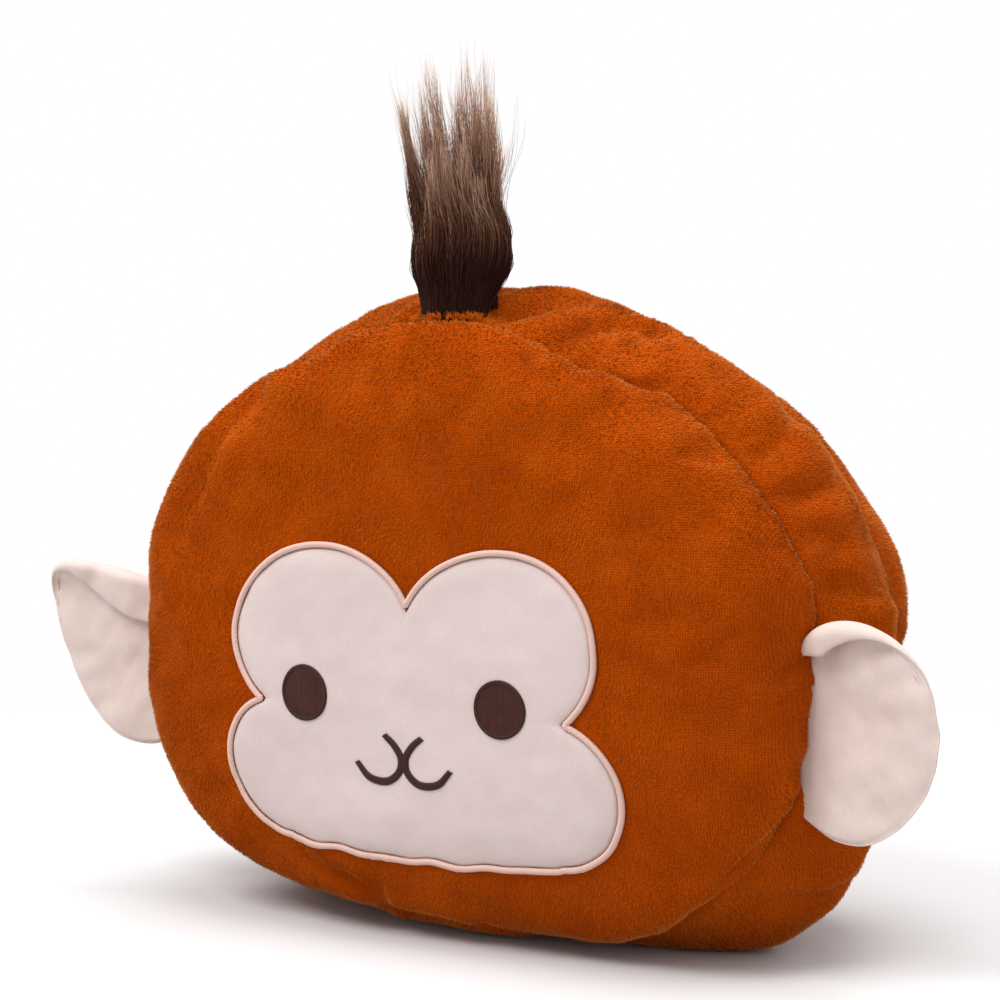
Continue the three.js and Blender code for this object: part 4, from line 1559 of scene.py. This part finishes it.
paint(collar, PILE)
paint(filling, WADDING_FIBRE)
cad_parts["tuft_backing"].data.materials.clear()
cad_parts["tuft_backing"].data.materials.append(BACKING)

# ---- joining the pieces to the frame ----

for cloth, strands in pile.items():
    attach(cloth, "head")
    for piece in strands:
        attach(piece, "head")
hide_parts("front_panel")
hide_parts("gusset")
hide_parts("back_panel")
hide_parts("stuffing")
for piece, node in zip(threads, ("front_seam_thread", "back_seam_thread",
                                 "gusset_join_thread", "closing_seam_thread")):
    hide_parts(node)
for piece in [filling, patch, border, collar, *eyes, *rims, *mouth, *threads]:
    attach(piece, "head")
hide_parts("face_patch")
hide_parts("face_patch_border")
for index, side in enumerate(("left", "right")):
    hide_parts(side + "_eye")
    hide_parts(side + "_eye_rim")
    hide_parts("mouth_" + side + "_stroke")
for layers, side, name in ((left_ear, -1, "left_ear"), (right_ear, 1, "right_ear")):
    for piece, node in zip(layers, ("_front", "_padding", "_back")):
        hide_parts(name + node)
        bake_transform(piece)
for piece in tuft:
    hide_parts("tuft_hair")
    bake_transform(piece)

# ---- floor, light and camera ----

FLOOR_FADE = (0.3, 0.8)  # metres from the middle
FLOOR_BOUNCE = 0.52
STUDIO_LIGHT = 0.55
CAMERA_PLACE = (667.1, -986.0, 114.9)
CAMERA_AIM = (1.3, 27.05, 44.8)
CAMERA_LENS = 90.33


def area_light(name, place, aim, size, power):
    """A square soft light that faces a point."""
    bpy.ops.object.light_add(type="AREA", location=place)
    lamp = bpy.context.active_object
    lamp.name = name
    lamp.data.size = size
    lamp.data.energy = power
    lamp.rotation_euler = (Vector(aim) - Vector(place)).to_track_quat("-Z", "Y").to_euler()


def pale_floor():
    """A pale floor round the pillow that fades into the white studio behind it."""
    material, tree, shader = finish_named("pale_floor", 0.9)
    noise = add_node(tree, "ShaderNodeTexNoise", {"Scale": 3.0})
    seen = add_node(tree, "ShaderNodeLightPath").outputs["Is Camera Ray"]
    place = add_node(tree, "ShaderNodeTexCoord").outputs["Object"]
    reach = add_node(tree, "ShaderNodeVectorMath", {0: place}, operation="LENGTH")
    fade = add_node(tree, "ShaderNodeMapRange",
                    {"Value": reach.outputs["Value"], "From Min": FLOOR_FADE[0], "From Max": FLOOR_FADE[1]})
    faded = add_node(tree, "ShaderNodeMath", {0: fade.outputs["Result"], 1: seen}, operation="MULTIPLY")
    clear = add_node(tree, "ShaderNodeBsdfTransparent")
    mix = add_node(tree, "ShaderNodeMixShader", {
        "Fac": faded.outputs[0], 1: shader.outputs["BSDF"], 2: clear.outputs["BSDF"]})
    tree.links.new(mix.outputs["Shader"], tree.nodes["Material Output"].inputs["Surface"])
    shade = ramp(tree, noise.outputs["Fac"], [(0.3, 0.86), (0.7, 0.9)])
    shade = mixed(tree, seen, (FLOOR_BOUNCE, FLOOR_BOUNCE, FLOOR_BOUNCE, 1), shade)
    tree.links.new(shade, shader.inputs["Base Color"])
    return material


def pale_studio():
    """A white studio, dimmer as a light than it looks."""
    world = bpy.data.worlds.new("pale_studio")
    world.use_nodes = True
    tree = world.node_tree
    lit = tree.nodes["Background"]
    lit.inputs["Color"].default_value = (1, 1, 1, 1)
    lit.inputs["Strength"].default_value = STUDIO_LIGHT
    seen = add_node(tree, "ShaderNodeBackground", {"Color": (1, 1, 1, 1), "Strength": 1.0})
    mix = add_node(tree, "ShaderNodeMixShader", {
        "Fac": add_node(tree, "ShaderNodeLightPath").outputs["Is Camera Ray"],
        1: lit.outputs["Background"], 2: seen.outputs["Background"]})
    tree.links.new(mix.outputs["Shader"], tree.nodes["World Output"].inputs["Surface"])
    return world


bpy.ops.mesh.primitive_plane_add(size=12, location=(0, 0, 0))
floor = finish_primitive("studio_floor")
floor.data.materials.append(pale_floor())

middle = Vector(in_row((0, 40, 0)))
area_light("key_light", (-0.6, -1.4, 1.9), middle, size=1.2, power=30)
area_light("fill_light", (1.8, -0.8, 1.0), middle, size=1.6, power=3)
area_light("top_light", (0.1, 0.1, 2.1), middle, size=1.4, power=24)
area_light("back_light", (0.6, 1.8, 1.2), middle, size=1.4, power=8)

scene = bpy.context.scene
scene.world = pale_studio()
scene.view_settings.view_transform = "Standard"

camera_place = in_row(CAMERA_PLACE)
camera_aim = in_row(CAMERA_AIM)
bpy.ops.object.camera_add(location=camera_place)
camera = bpy.context.active_object
camera.data.lens = CAMERA_LENS
camera.data.sensor_width = 36
camera.rotation_euler = Vector(camera_aim - camera_place).to_track_quat("-Z", "Y").to_euler()
scene.camera = camera
